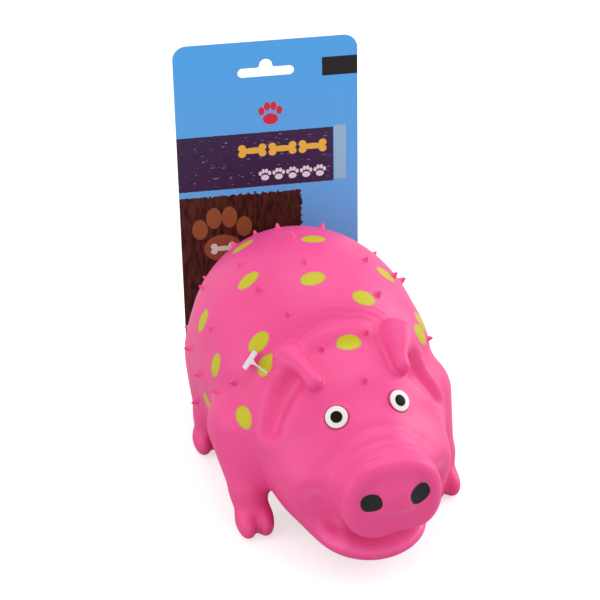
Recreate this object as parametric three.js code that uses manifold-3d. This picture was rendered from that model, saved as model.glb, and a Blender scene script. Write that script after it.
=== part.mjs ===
// A latex pig for dogs: a hollow moulded skin full of fibre, a grunting sounder in its belly,
// and the hang card that two tag pins hold to its rump. Millimetres, +Z up, the snout towards -Y.
import * as THREE from "three";
import { mergeVertices } from "three/addons/utils/BufferGeometryUtils.js";
import Module from "manifold-3d";

const wasm = await Module();
wasm.setup();

// Fits shared by the pieces
const fit = 0.3; // between touching pieces
const overrun = 1; // a cut runs past the face it opens
const wall = 2.4; // of the latex

// Trunk, a barrel with a flattened belly; places on it are found from a line along its middle
const trunk = { y: 32, z: 64, halfWidth: 64, halfLength: 80, halfHeight: 65.5, bellyZ: 8, bellyBlend: 20 };
const shoulder = { x: 28, y: 4, z: 72, halfWidth: 31.5, halfLength: 30, halfHeight: 30, blend: 8 };
const napeBlend = 10;
const spineZ = 62;

// Head, a wide cone that falls to the muzzle
const head = { backY: -32.5, backZ: 53, backRadius: 46, frontY: -63, frontZ: 43, frontRadius: 26 };
const headWidthShare = 1.19; // of its height
const throat = { y: -57, z: 35, halfWidth: 44.3, halfLength: 34.5, halfHeight: 32, blend: 12 };
const cheek = { x: 26, y: -64, z: 46, halfWidth: 19, halfLength: 21, halfHeight: 19, blend: 10 };
const muzzle = {
  backY: -70, backZ: 51, backRadius: 29.5, frontY: -91, frontZ: 50, frontRadius: 22, blend: 12,
};

// Snout disc, with an upper lip that lifts a little off its middle
const snout = { y: -96, z: 50, halfWidth: 27, halfHeight: 22.3, halfDepth: 12.3, round: 7, blend: 4 };
const snoutSquareness = 2.6;
const snoutTilt = THREE.MathUtils.degToRad(-6);
const lip = { x: 4, rise: 3.2, halfWidth: 9, startDepth: 8, fullDepth: 22 };

// Lower jaw and the open mouth above it, both a little off the middle as the toy is moulded
const jaw = { x: -3.2, y: -76.2, z: 22.4, halfWidth: 31.6, halfLength: 32.4, halfHeight: 16, blend: 8 };
const mouth = {
  x: -1, y: -97, z: 33, halfWidth: 27.5, halfLength: 21, halfHeight: 12, blend: 10, innerBlend: 12,
};
const mouthTilt = THREE.MathUtils.degToRad(-6);

// A fold from each corner of the mouth up the cheek
const cheekFold = {
  lowX: 29.5, lowY: -90.5, lowZ: 32, lowRadius: 6.5,
  highX: 38.5, highY: -85.5, highZ: 44.5, highRadius: 4, blend: 8,
};

// Legs: each a shoulder or hip, set in from the flank, that tapers into an ankle above two toes;
// a pair's skew is how far its middle lies off the trunk's
const frontLeg = {
  hipInset: 18.5, hipY: -10.5, hipZ: 50.5, hipRadius: 23.5,
  kneeInset: 9.7, kneeY: -31, kneeZ: 22, kneeRadius: 9.3,
  ankleInset: 10.6, ankleY: -36, ankleZ: 9.5, ankleRadius: 9.2, blend: 6, skew: -0.6,
};
const rearLeg = {
  hipInset: 25, hipY: 52, hipZ: 57, hipRadius: 20.5,
  kneeInset: 12.7, kneeY: 48.5, kneeZ: 22, kneeRadius: 9.8,
  ankleInset: 10.7, ankleY: 50, ankleZ: 8, ankleRadius: 8, blend: 14, skew: 0,
};
const toe = { halfWidth: 5.1, halfLength: 9.2, halfHeight: 7.8, z: 7.2, apart: 4.8, ahead: 2.2, blend: 1.8 };
const legBlend = 4;
const toeTurn = THREE.MathUtils.degToRad(3);

// Ears: a ridge and lobe that melt into the neck, a folded flap each, and a trough in front
const ear = {
  tipX: 24.5, tipY: -49.5, tipZ: 93, tipRadius: 5.4, flapBlend: 4,
  foldX: 29.5, foldY: -29, foldZ: 98.5, foldRadius: 10.2,
  turnX: 35, turnY: -32.5, turnZ: 90, turnRadius: 8,
  lobeX: 48.5, lobeY: -44, lobeZ: 68, lobeRadius: 3, blend: 8, skew: 1.5,
};
const earTrough = {
  topX: 32.5, topY: -44.5, topZ: 93, topRadius: 4.5,
  midX: 39.5, midY: -44, midZ: 83, midRadius: 7,
  lowX: 47.5, lowY: -50, lowZ: 67, lowRadius: 4.8, blend: 6,
};
const earJoin = 3;

// Two soft folds across the neck
const neckFolds = [
  { y: -22, depth: 1.6, halfWidth: 4.5, reach: 60 },
  { y: -33, depth: 0.9, halfWidth: 3.5, reach: 20 },
];
const foldFadeZ = { none: 55, full: 85 };

// Raised eyes where the forehead meets the muzzle, facing forwards more than the skin under them
const eye = { x: 17.2, y: -66.8, skew: 0.9, coreZ: 60, radius: 5.9, stands: 1.8, seat: 3, round: 0.7 };
const eyeTurn = THREE.MathUtils.degToRad(26);
const eyeLift = THREE.MathUtils.degToRad(43);
const eyeSides = 14;

// Pointed nubs: each has its share of the trunk's length, from its front, and its turn from the ridge
const nub = { radius: 2.1, height: 3.4, tipRadius: 0.8, sunk: 1.4 };
const nubSides = 5;
const nubTipShare = 0.82;
const nubShares = [
  { along: -0.05, degrees: 4 }, { along: 0.1, degrees: -18 }, { along: 0.12, degrees: 17 },
  { along: 0.39, degrees: -5 }, { along: 0.57, degrees: -3 }, { along: 0.73, degrees: -3 },
  { along: 0.85, degrees: -12 }, { along: 0.91, degrees: 9 }, { along: 0.23, degrees: -25 },
  { along: 0.37, degrees: -30 }, { along: 0.54, degrees: -31 }, { along: 0.83, degrees: -28 },
  { along: 0.25, degrees: 28 }, { along: 0.41, degrees: 27 }, { along: 0.75, degrees: 24 },
  { along: 0.41, degrees: 45 }, { along: 0.88, degrees: 40 }, { along: 0.66, degrees: -54 },
  { along: 0.66, degrees: 52 }, { along: 0.85, degrees: -58 }, { along: 0.44, degrees: -61 },
  { along: 0.49, degrees: 58 }, { along: 0.24, degrees: 64 }, { along: 0.225, degrees: -73 },
  { along: 0.8, degrees: 76 }, { along: 0.76, degrees: -86 }, { along: 0.58, degrees: -83 },
  { along: 0.61, degrees: 80 }, { along: 0.29, degrees: -84 }, { along: 0.3, degrees: 86 },
  { along: 0.46, degrees: -88 }, { along: 0.46, degrees: 90 }, { along: 0.56, degrees: -112 },
  { along: 0.56, degrees: 112 }, { along: 0.8, degrees: -108 }, { along: 0.8, degrees: 108 },
];

// Curled tail on the rump, above the place where the card lies
const tail = { z: 97, curlRadius: 5, radius: 2.2, rise: 3.2, sunk: 0.6 };
const tailTurns = 1.1;
const tailSteps = 14;
const tailSides = 7;

// Fibre filling, clear of the skin
const fillingGap = 0.6;
const pocket = 1.5; // free space round whatever moves or stands in the fibre

// Sounder: a barrel in a hole of the belly, its vent cap, reed and fibre guard
const barrel = { y: 32, radius: 11, bore: 9.2, length: 36, flangeRadius: 14, flange: 1.6 };
const barrelSides = 28;
const vent = { thickness: 2, holeRadius: 1.3, ring: 5.8, recess: 0.8 };
const ventHoles = 6;
const reedBlock = { halfWidth: 3.6, depth: 4.2, height: 24, channel: 1.8, channelWidth: 4.4, foot: 5 };
const reedBlockSegments = 10;
const reed = { width: 6, thickness: 0.4, height: 21 };
const wedge = { width: 6, thickness: 1.4, height: 6, nose: 0.7 };
const guard = { thickness: 1.2, holeRadius: 0.9, pitch: 3.4, seat: 1.2 };
const guardRings = 2;

// Hang card behind the rump
const card = {
  width: 104.5, height: 215, thickness: 0.6, corner: 8, standoff: 3, aside: -2.5, offFloor: 0.6,
};
const cardTurn = THREE.MathUtils.degToRad(-9.5);
const slot = { width: 32, barHeight: 5.4, humpHeight: 10.3, humpWidth: 7.4, shoulder: 1.6, belowTop: 21.3 };
const cornerSegments = 6;

// Tag pins: a bar at one end, a thin filament, and a bar or a paddle at the other
const filament = { radius: 0.5, sides: 8, steps: 16 };
const bar = { radius: 0.6, length: 8 };
const paddle = { length: 11, width: 3, thickness: 1.1, neck: 5, neckWidth: 2.4 };
const pinHole = 0.95; // radius
const cardPin = { apart: 44, z: 64, depth: 4.2, clear: 0.8 };
const flankPin = {
  y: -25.5, degrees: -56.5, inside: 10, rise: 1.5, lift: 3, reachX: -4.5, reachY: 8, reachZ: 2.6,
};

// Cells of the moulded surface: small round the head and the feet, large on the trunk
const cell = {
  fineWidth: 4.6, width: 5.8, fineLength: 4.6, length: 9.6, fineHeight: 4.4, height: 7.8, inner: 10,
};
const gradeX = { fine: 20, coarse: 28 };
const gradeY = { fine: -22, coarse: 2 };
const gradeZ = { fine: 24, coarse: 48 };
const gradeRearFoot = { fine: 9, coarse: 16 };
const probe = 0.05; // step of a measured slope
const settleRounds = 3;

// Distances to the plain forms, negative inside
function ellipsoid(p, c, r) {
  const q = [0, 1, 2].map((i) => (p[i] - c[i]) / r[i]);
  const scaled = Math.hypot(q[0], q[1], q[2]);
  const slope = Math.hypot(q[0] / r[0], q[1] / r[1], q[2] / r[2]);
  return slope === 0 ? -Math.min(...r) : (scaled * (scaled - 1)) / slope;
}

function lying(p, form) {
  return ellipsoid(p, [form.x ?? 0, form.y, form.z], [form.halfWidth, form.halfLength, form.halfHeight]);
}

function roundCone(p, a, b, ra, rb) {
  const along = [0, 1, 2].map((i) => b[i] - a[i]);
  const from = [0, 1, 2].map((i) => p[i] - a[i]);
  const length2 = along[0] ** 2 + along[1] ** 2 + along[2] ** 2;
  const taper = ra - rb;
  const slant2 = length2 - taper * taper;
  const y = from[0] * along[0] + from[1] * along[1] + from[2] * along[2];
  const z = y - length2;
  const across = [0, 1, 2].map((i) => from[i] * length2 - along[i] * y);
  const x2 = across[0] ** 2 + across[1] ** 2 + across[2] ** 2;
  const limit = Math.sign(taper) * taper * taper * x2;
  if (Math.sign(z) * slant2 * z * z * length2 > limit) return Math.sqrt(x2 + z * z * length2) / length2 - rb;
  if (Math.sign(y) * slant2 * y * y * length2 < limit) return Math.sqrt(x2 + y * y * length2) / length2 - ra;
  return (Math.sqrt((x2 * slant2) / length2) + y * taper) / length2 - ra;
}

// A disc whose outline is between an ellipse and a box, with rounded edges; z runs through it
function squaredDisc(x, y, z, disc) {
  const n = snoutSquareness;
  const round = disc.round;
  const a = disc.halfWidth - round;
  const b = disc.halfHeight - round;
  const level = ((Math.abs(x) / a) ** n + (Math.abs(y) / b) ** n) ** (1 / n);
  const slope = Math.hypot(Math.abs(x) ** (n - 1) / a ** n, Math.abs(y) ** (n - 1) / b ** n);
  const side = level === 0 ? -Math.min(a, b) : (level - 1) / (slope * level ** (1 - n));
  const end = Math.abs(z) - disc.halfDepth + round;
  return Math.min(Math.max(side, end), 0) + Math.hypot(Math.max(side, 0), Math.max(end, 0)) - round;
}

// Joins and cuts with a soft edge
function join(a, b, soft) {
  const near = Math.max(soft - Math.abs(a - b), 0) / soft;
  return Math.min(a, b) - (near * near * soft) / 4;
}

function cut(a, b, soft) {
  return -join(-a, b, soft);
}

function tilted(p, x, y, z, angle) {
  const dy = p[1] - y;
  const dz = p[2] - z;
  const c = Math.cos(angle);
  const s = Math.sin(angle);
  return [p[0] - x, dy * c + dz * s, dz * c - dy * s];
}

function bell(t) {
  return Math.exp(-t * t);
}

// The same place on the +X side of a pair whose middle is at x = skew
function mirrored(p, skew = 0) {
  return [Math.abs(p[0] - skew), p[1], p[2]];
}

// The bulk that the skin and its hollow share
function bulk(p) {
  const side = mirrored(p);
  let belly = cut(lying(p, trunk), p[2] - trunk.bellyZ, trunk.bellyBlend);
  belly = join(belly, lying(side, shoulder), shoulder.blend);
  const narrowed = [p[0] / headWidthShare, p[1], p[2]];
  const back = [0, head.backY, head.backZ];
  const front = [0, head.frontY, head.frontZ];
  let form = roundCone(narrowed, back, front, head.backRadius, head.frontRadius);
  form = join(form, lying(p, throat), throat.blend);
  form = join(form, lying(side, cheek), cheek.blend);
  const muzzleBack = [0, muzzle.backY, muzzle.backZ];
  const muzzleFront = [0, muzzle.frontY, muzzle.frontZ];
  const muzzleForm = roundCone(p, muzzleBack, muzzleFront, muzzle.backRadius, muzzle.frontRadius);
  form = join(form, muzzleForm, muzzle.blend);
  return join(belly, form, napeBlend);
}

function foldDepth(p) {
  const fade = THREE.MathUtils.clamp((p[2] - foldFadeZ.none) / (foldFadeZ.full - foldFadeZ.none), 0, 1);
  let depth = 0;
  for (const fold of neckFolds) {
    depth += fold.depth * bell((p[1] - fold.y) / fold.halfWidth) * bell((p[0] / fold.reach) ** 2);
  }
  return fade * depth;
}

function mouthForm(p) {
  const q = tilted(p, mouth.x, mouth.y, mouth.z, mouthTilt);
  const opening = ellipsoid(q, [0, 0, 0], [mouth.halfWidth, mouth.halfLength, mouth.halfHeight]);
  const low = [cheekFold.lowX, cheekFold.lowY, cheekFold.lowZ];
  const high = [cheekFold.highX, cheekFold.highY, cheekFold.highZ];
  const folds = roundCone(mirrored(p), low, high, cheekFold.lowRadius, cheekFold.highRadius);
  return join(opening, folds, cheekFold.blend);
}

function snoutForm(p) {
  const q = tilted(p, 0, snout.y, snout.z, snoutTilt);
  const low = THREE.MathUtils.clamp((-q[2] - lip.startDepth) / (lip.fullDepth - lip.startDepth), 0, 1);
  const lifted = lip.rise * bell((q[0] - lip.x) / lip.halfWidth) * low;
  return squaredDisc(q[0], q[2] - lifted, q[1], snout);
}

function troughForm(p) {
  const side = mirrored(p, ear.skew);
  const t = earTrough;
  const middle = [t.midX, t.midY, t.midZ];
  const upper = roundCone(side, [t.topX, t.topY, t.topZ], middle, t.topRadius, t.midRadius);
  const lower = roundCone(side, middle, [t.lowX, t.lowY, t.lowZ], t.midRadius, t.lowRadius);
  return join(upper, lower, earJoin);
}

function withEars(form, p) {
  const side = mirrored(p, ear.skew);
  const fold = [ear.foldX, ear.foldY, ear.foldZ];
  const turn = [ear.turnX, ear.turnY, ear.turnZ];
  const flap = roundCone(side, [ear.tipX, ear.tipY, ear.tipZ], fold, ear.tipRadius, ear.foldRadius);
  const ridge = roundCone(side, fold, turn, ear.foldRadius, ear.turnRadius);
  const lobe = roundCone(side, turn, [ear.lobeX, ear.lobeY, ear.lobeZ], ear.turnRadius, ear.lobeRadius);
  return join(join(form, join(ridge, lobe, earJoin), ear.blend), flap, ear.flapBlend);
}

function legForm(p, leg) {
  const side = mirrored(p, leg.skew);
  const hip = [trunk.halfWidth - leg.hipInset, leg.hipY, leg.hipZ];
  const knee = [trunk.halfWidth - leg.kneeInset, leg.kneeY, leg.kneeZ];
  const ankle = [trunk.halfWidth - leg.ankleInset, leg.ankleY, leg.ankleZ];
  const thigh = roundCone(side, hip, knee, leg.hipRadius, leg.kneeRadius);
  const shin = roundCone(side, knee, ankle, leg.kneeRadius, leg.ankleRadius);
  const dx = side[0] - ankle[0];
  const dy = side[1] - leg.ankleY;
  const x = dx * Math.cos(toeTurn) + dy * Math.sin(toeTurn);
  const y = dy * Math.cos(toeTurn) - dx * Math.sin(toeTurn) + toe.ahead * 2;
  const size = [toe.halfWidth, toe.halfLength, toe.halfHeight];
  const outer = ellipsoid([x, y, side[2]], [toe.apart, 0, toe.z], size);
  const inner = ellipsoid([x, y, side[2]], [-toe.apart, 0, toe.z], size);
  return join(join(shin, join(outer, inner, toe.blend), legBlend), thigh, legBlend);
}

// The whole moulded outside, down to the soles at zero
function outside(p) {
  let form = bulk(p);
  form = join(form, legForm(p, frontLeg), frontLeg.blend);
  form = join(form, legForm(p, rearLeg), rearLeg.blend);
  form = join(form, lying(p, jaw), jaw.blend);
  form = cut(form, mouthForm(p), mouth.blend);
  form = join(form, snoutForm(p), snout.blend);
  form += foldDepth(p);
  form = withEars(form, p);
  form = cut(form, troughForm(p), earTrough.blend);
  return Math.max(form, -p[2]);
}

// The hollow keeps its wall from the bulk, the folds, the mouth and the troughs
function hollow(p) {
  const depth = cut(bulk(p) + foldDepth(p), mouthForm(p), mouth.innerBlend);
  return Math.max(depth, -troughForm(p)) + wall;
}

function slopeOf(field, p) {
  const steps = [0, 1, 2].map((axis) => {
    const ahead = [...p];
    const behind = [...p];
    ahead[axis] += probe;
    behind[axis] -= probe;
    return (field(ahead) - field(behind)) / (2 * probe);
  });
  return new THREE.Vector3(...steps);
}

// Where a line from inside the form leaves it
function surfaceFrom(field, start, direction) {
  const point = start.clone();
  while (field(point.toArray()) < -probe / 10) {
    point.addScaledVector(direction, -field(point.toArray()) / 2);
  }
  return point;
}

// Stations of a graded grid
function stations(low, high, stepAt) {
  const list = [low];
  while (list.at(-1) < high) list.push(list.at(-1) + stepAt(list.at(-1)));
  return list;
}

function mirroredStations(reach, stepAt) {
  const half = stations(stepAt(0) / 2, reach, stepAt);
  return [...half.map((x) => -x).reverse(), ...half];
}

function graded(fineStep, step, grade) {
  return (at) => fineStep + (step - fineStep) * THREE.MathUtils.smoothstep(at, grade.fine, grade.coarse);
}

function lengthStepAt(y) {
  const pastHead = graded(cell.fineLength, cell.length, gradeY)(y);
  const fromFoot = graded(cell.fineLength, cell.length, gradeRearFoot)(Math.abs(y - rearLeg.ankleY));
  return Math.min(pastHead, fromFoot);
}

// Turns samples that touch only across an edge or a corner into solid, so that the surface is one sheet
function closeDiagonals(values, size, solidValue) {
  const index = (i, j, k) => (i * size[1] + j) * size[2] + k;
  const unit = [[1, 0, 0], [0, 1, 0], [0, 0, 1]];
  let changed = true;
  while (changed) {
    changed = false;
    for (let i = 0; i < size[0] - 1; i++) {
      for (let j = 0; j < size[1] - 1; j++) {
        for (let k = 0; k < size[2] - 1; k++) {
          const here = index(i, j, k);
          for (const [u, v] of [[0, 1], [1, 2], [0, 2]]) {
            const a = index(i + unit[u][0], j + unit[u][1], k + unit[u][2]);
            const b = index(i + unit[v][0], j + unit[v][1], k + unit[v][2]);
            const ab = a + b - here;
            const inside = [here, a, b, ab].map((n) => values[n] < 0);
            if (inside[0] === inside[3] && inside[1] === inside[2] && inside[0] !== inside[1]) {
              values[inside[0] ? a : here] = solidValue;
              changed = true;
            }
          }
          const corners = [];
          for (let n = 0; n < 8; n++) corners.push(index(i + (n & 1), j + ((n >> 1) & 1), k + (n >> 2)));
          const solid = corners.filter((n) => values[n] < 0);
          const empty = corners.filter((n) => values[n] >= 0);
          const opposite = (pair) => pair.length === 2 && pair[0] + pair[1] === corners[0] + corners[7];
          if (opposite(solid)) {
            values[corners[corners.indexOf(solid[0]) ^ 1]] = solidValue;
            changed = true;
          }
          if (opposite(empty)) {
            values[empty[0]] = solidValue;
            changed = true;
          }
        }
      }
    }
  }
}

// One closed sheet on a field's zero level: a point in each crossed cell, a face at each crossed edge
function sheetOf(field, xs, ys, zs) {
  const size = [xs.length, ys.length, zs.length];
  const index = (i, j, k) => (i * size[1] + j) * size[2] + k;
  const values = new Float64Array(size[0] * size[1] * size[2]);
  for (let i = 0; i < size[0]; i++) {
    for (let j = 0; j < size[1]; j++) {
      for (let k = 0; k < size[2]; k++) values[index(i, j, k)] = field([xs[i], ys[j], zs[k]]);
    }
  }
  closeDiagonals(values, size, -probe);
  const points = [];
  const pointOf = new Map();
  const corner = (i, j, k, n) => [i + (n & 1), j + ((n >> 1) & 1), k + (n >> 2)];
  for (let i = 0; i < size[0] - 1; i++) {
    for (let j = 0; j < size[1] - 1; j++) {
      for (let k = 0; k < size[2] - 1; k++) {
        const sum = new THREE.Vector3();
        let crossings = 0;
        for (let n = 0; n < 8; n++) {
          for (const bit of [1, 2, 4]) {
            if (n & bit) continue;
            const a = corner(i, j, k, n);
            const b = corner(i, j, k, n | bit);
            const va = values[index(...a)];
            const vb = values[index(...b)];
            if (va < 0 === vb < 0) continue;
            const from = new THREE.Vector3(xs[a[0]], ys[a[1]], zs[a[2]]);
            const to = new THREE.Vector3(xs[b[0]], ys[b[1]], zs[b[2]]);
            sum.add(from.lerp(to, va / (va - vb)));
            crossings++;
          }
        }
        if (!crossings) continue;
        const point = sum.divideScalar(crossings);
        const low = new THREE.Vector3(xs[i], ys[j], zs[k]);
        const high = new THREE.Vector3(xs[i + 1], ys[j + 1], zs[k + 1]);
        settle(field, point, low, high);
        pointOf.set(index(i, j, k), points.length);
        points.push(point);
      }
    }
  }
  const triangles = [];
  const addFace = (cells, outward) => {
    const corners = cells.map((c) => pointOf.get(index(...c)));
    if (!outward) corners.reverse();
    const [a, b, c, d] = corners;
    const shortAC = points[a].distanceTo(points[c]) <= points[b].distanceTo(points[d]);
    triangles.push(...(shortAC ? [a, b, c, a, c, d] : [b, c, d, b, d, a]));
  };
  for (let i = 1; i < size[0] - 1; i++) {
    for (let j = 1; j < size[1] - 1; j++) {
      for (let k = 1; k < size[2] - 1; k++) {
        const here = values[index(i, j, k)] < 0;
        if (here !== values[index(i + 1, j, k)] < 0) {
          addFace([[i, j - 1, k - 1], [i, j, k - 1], [i, j, k], [i, j - 1, k]], here);
        }
        if (here !== values[index(i, j + 1, k)] < 0) {
          addFace([[i - 1, j, k - 1], [i - 1, j, k], [i, j, k], [i, j, k - 1]], here);
        }
        if (here !== values[index(i, j, k + 1)] < 0) {
          addFace([[i - 1, j - 1, k], [i, j - 1, k], [i, j, k], [i - 1, j, k]], here);
        }
      }
    }
  }
  return { points, triangles };
}

// Moves a point onto the zero level, within its own cell
function settle(field, point, low, high) {
  for (let round = 0; round < settleRounds; round++) {
    const slope = slopeOf(field, point.toArray());
    const distance = field(point.toArray());
    if (slope.lengthSq() > 0) point.addScaledVector(slope, -distance / slope.lengthSq());
    point.clamp(low, high);
  }
}

// Solids that are joined and cut, and their way back to geometry
function solidOf(geometry) {
  const plain = geometry.clone();
  plain.deleteAttribute("normal");
  plain.deleteAttribute("uv");
  const merged = mergeVertices(plain, fit / 1000);
  return solidFrom(merged.getAttribute("position").array, merged.index.array);
}

function solidFrom(positions, triangles) {
  const vertProperties = new Float32Array(positions);
  const triVerts = new Uint32Array(triangles);
  return new wasm.Manifold(new wasm.Mesh({ numProp: 3, vertProperties, triVerts }));
}

function solidOfSheet(sheet, inward) {
  const positions = [];
  for (const point of sheet.points) {
    const moved = point.clone();
    if (inward) moved.addScaledVector(slopeOf(hollow, point.toArray()).normalize(), -inward);
    positions.push(...moved.toArray());
  }
  return solidFrom(positions, sheet.triangles);
}

function geometryOf(solid) {
  const mesh = solid.getMesh();
  const geometry = new THREE.BufferGeometry();
  geometry.setAttribute("position", new THREE.BufferAttribute(new Float32Array(mesh.vertProperties), 3));
  geometry.setIndex(new THREE.BufferAttribute(new Uint32Array(mesh.triVerts), 1));
  geometry.computeVertexNormals();
  return geometry;
}

// Turned pieces: a profile about an axis, set on a point and along a direction
function turned(profile, sides, at, direction) {
  const geometry = new THREE.LatheGeometry(profile.map(([r, h]) => new THREE.Vector2(r, h)), sides);
  const turn = new THREE.Quaternion().setFromUnitVectors(new THREE.Vector3(0, 1, 0), direction);
  geometry.applyQuaternion(turn);
  return geometry.translate(at.x, at.y, at.z);
}

function rod(radius, sides, from, to) {
  const along = to.clone().sub(from);
  const length = along.length();
  return turned([[0, 0], [radius, 0], [radius, length], [0, length]], sides, from, along.normalize());
}

function tube(curve, steps, radius, sides) {
  const ring = new THREE.Shape();
  for (let n = 0; n < sides; n++) {
    const angle = (n * 2 * Math.PI) / sides;
    if (n === 0) ring.moveTo(radius * Math.cos(angle), radius * Math.sin(angle));
    else ring.lineTo(radius * Math.cos(angle), radius * Math.sin(angle));
  }
  return new THREE.ExtrudeGeometry(ring, { steps, extrudePath: curve, bevelEnabled: false });
}

// A place on the toy by its station along the trunk and its turn from the ridge
function placeAt(y, degrees) {
  const angle = THREE.MathUtils.degToRad(degrees);
  const outward = new THREE.Vector3(Math.sin(angle), 0, Math.cos(angle));
  const point = surfaceFrom(outside, new THREE.Vector3(0, y, spineZ), outward);
  return { point, normal: slopeOf(outside, point.toArray()).normalize() };
}

// The card's own frame: along its width, and away from the toy
const cardAlong = new THREE.Vector3(Math.cos(cardTurn), Math.sin(cardTurn), 0);
const cardAway = new THREE.Vector3(-Math.sin(cardTurn), Math.cos(cardTurn), 0);
const up = new THREE.Vector3(0, 0, 1);
const rumpReach = Math.hypot(trunk.halfWidth * cardAway.x, trunk.halfLength * cardAway.y);
const rump = new THREE.Vector3(
  (trunk.halfWidth ** 2 * cardAway.x) / rumpReach,
  trunk.y + (trunk.halfLength ** 2 * cardAway.y) / rumpReach,
  trunk.z,
);
const cardFront = rump.clone().addScaledVector(cardAway, card.standoff);
cardFront.addScaledVector(cardAlong, card.aside);

// Skin
function nubSolid({ along, degrees }) {
  const place = placeAt(trunk.y + (2 * along - 1) * trunk.halfLength, degrees);
  const start = place.point.clone().addScaledVector(place.normal, -nub.sunk);
  const tipHeight = nub.sunk + nub.height * nubTipShare;
  const top = nub.sunk + nub.height;
  const profile = [[0, 0], [nub.radius, 0], [nub.tipRadius, tipHeight], [0, top]];
  return solidOf(turned(profile, nubSides, start, place.normal));
}

function eyeSolid(sign) {
  const core = new THREE.Vector3(sign * eye.x, eye.y + sign * eye.skew, eye.coreZ);
  const point = surfaceFrom(outside, core, up);
  const facing = new THREE.Vector3().setFromSphericalCoords(1, Math.PI / 2 - eyeLift, sign * eyeTurn);
  const normal = new THREE.Vector3(facing.x, -facing.z, facing.y);
  const start = point.clone().addScaledVector(normal, -eye.seat);
  const top = eye.seat + eye.stands;
  const rim = [[eye.radius, top - eye.round], [eye.radius - eye.round, top]];
  const profile = [[0, 0], [eye.radius, 0], ...rim, [0, top]];
  return solidOf(turned(profile, eyeSides, start, normal));
}

function tailSolid() {
  const core = new THREE.Vector3(0, trunk.y, tail.z);
  const root = surfaceFrom(outside, core, new THREE.Vector3(0, 1, 0));
  const normal = slopeOf(outside, root.toArray()).normalize();
  const across = new THREE.Vector3(1, 0, 0);
  const upward = normal.clone().cross(across);
  const points = [];
  for (let n = 0; n <= tailSteps; n++) {
    const turn = (n / tailSteps) * tailTurns * 2 * Math.PI;
    const lift = tail.rise * Math.sin((n / tailSteps) * (Math.PI / 2)) - tail.sunk;
    const point = root.clone().addScaledVector(normal, lift);
    point.addScaledVector(across, tail.curlRadius * Math.sin(turn));
    points.push(point.addScaledVector(upward, tail.curlRadius * (1 - Math.cos(turn))));
  }
  return solidOf(tube(new THREE.CatmullRomCurve3(points), tailSteps, tail.radius, tailSides));
}

const barrelStart = surfaceFrom(outside, new THREE.Vector3(0, barrel.y, trunk.z), up.clone().negate());
const barrelTopZ = barrelStart.z + barrel.length;

function throughBelly(radius) {
  const from = new THREE.Vector3(0, barrel.y, barrelStart.z - overrun - barrel.flange);
  const to = new THREE.Vector3(0, barrel.y, barrelTopZ + fit);
  return solidOf(rod(radius, barrelSides, from, to));
}

// Tag pins, with their places on the skin
function cardPinPlace(sign) {
  const onCard = cardFront.clone().addScaledVector(cardAlong, (sign * cardPin.apart) / 2);
  onCard.z = cardPin.z;
  const core = onCard.clone().addScaledVector(cardAway, -trunk.halfLength / 2);
  const onSkin = surfaceFrom(outside, core, cardAway);
  const normal = slopeOf(outside, onSkin.toArray()).normalize();
  // The bar inside lies level, so where the wall slants it goes deeper to keep clear at its end
  const slanted = (bar.length / 2) * Math.abs(normal.dot(cardAlong));
  const clearDepth = (wall + bar.radius + cardPin.clear + slanted) / normal.dot(cardAway);
  const depth = Math.max(wall + cardPin.depth, clearDepth);
  const inner = onSkin.clone().addScaledVector(cardAway, -depth);
  return { onCard, onSkin, inner };
}

const cardPinPlaces = [cardPinPlace(-1), cardPinPlace(1)];
const flankHole = placeAt(flankPin.y, flankPin.degrees).point;
const flankNormal = slopeOf(bulk, flankHole.toArray()).normalize();
const flankBarAt = flankHole.clone().addScaledVector(flankNormal, -flankPin.inside);

function pinBores() {
  const bores = cardPinPlaces.map(({ onSkin }) => {
    const inner = onSkin.clone().addScaledVector(cardAway, -wall * 2);
    return rod(pinHole, filament.sides, inner, onSkin.clone().addScaledVector(cardAway, overrun));
  });
  const flankOuter = flankHole.clone().addScaledVector(flankNormal, flankPin.lift);
  bores.push(rod(pinHole, filament.sides, flankBarAt, flankOuter));
  return bores.map(solidOf);
}

const foremostY = muzzle.frontY - muzzle.frontRadius;
const hindmostY = trunk.y + trunk.halfLength;
const topZ = trunk.z + trunk.halfHeight;
const widest = Math.max(trunk.halfWidth, shoulder.x + shoulder.halfWidth);
const outerSheet = sheetOf(
  outside,
  mirroredStations(widest + 2 * cell.width, graded(cell.fineWidth, cell.width, gradeX)),
  stations(foremostY - cell.length, hindmostY + cell.length, lengthStepAt),
  stations(-cell.height, topZ + cell.height, graded(cell.fineHeight, cell.height, gradeZ)),
);
const innerSheet = sheetOf(
  hollow,
  mirroredStations(widest + cell.inner, () => cell.inner),
  stations(foremostY - cell.inner, hindmostY + cell.inner, () => cell.inner),
  stations(-cell.inner, topZ + cell.inner, () => cell.inner),
);

function skin() {
  let solid = solidOfSheet(outerSheet, 0);
  const extras = [...nubShares.map(nubSolid), eyeSolid(-1), eyeSolid(1), tailSolid()];
  for (const extra of extras) solid = solid.add(extra);
  solid = solid.subtract(solidOfSheet(innerSheet, 0));
  solid = solid.subtract(throughBelly(barrel.radius + fit));
  for (const bore of pinBores()) solid = solid.subtract(bore);
  return geometryOf(solid);
}

// Fibre: the hollow's own form drawn in, less the sounder and the pins' ends
function filling() {
  let solid = solidOfSheet(innerSheet, fillingGap);
  solid = solid.subtract(throughBelly(barrel.radius + pocket));
  const reach = bar.length / 2 + pocket;
  for (const { onSkin, inner } of cardPinPlaces) {
    const deep = inner.clone().addScaledVector(cardAway, -pocket);
    solid = solid.subtract(solidOf(rod(reach, filament.sides, deep, onSkin)));
  }
  const deep = flankBarAt.clone().addScaledVector(flankNormal, -pocket);
  solid = solid.subtract(solidOf(rod(reach, filament.sides, deep, flankHole)));
  return geometryOf(solid);
}

// Sounder pieces, on the barrel's axis
function atBarrel(z) {
  return new THREE.Vector3(0, barrel.y, z);
}

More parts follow.
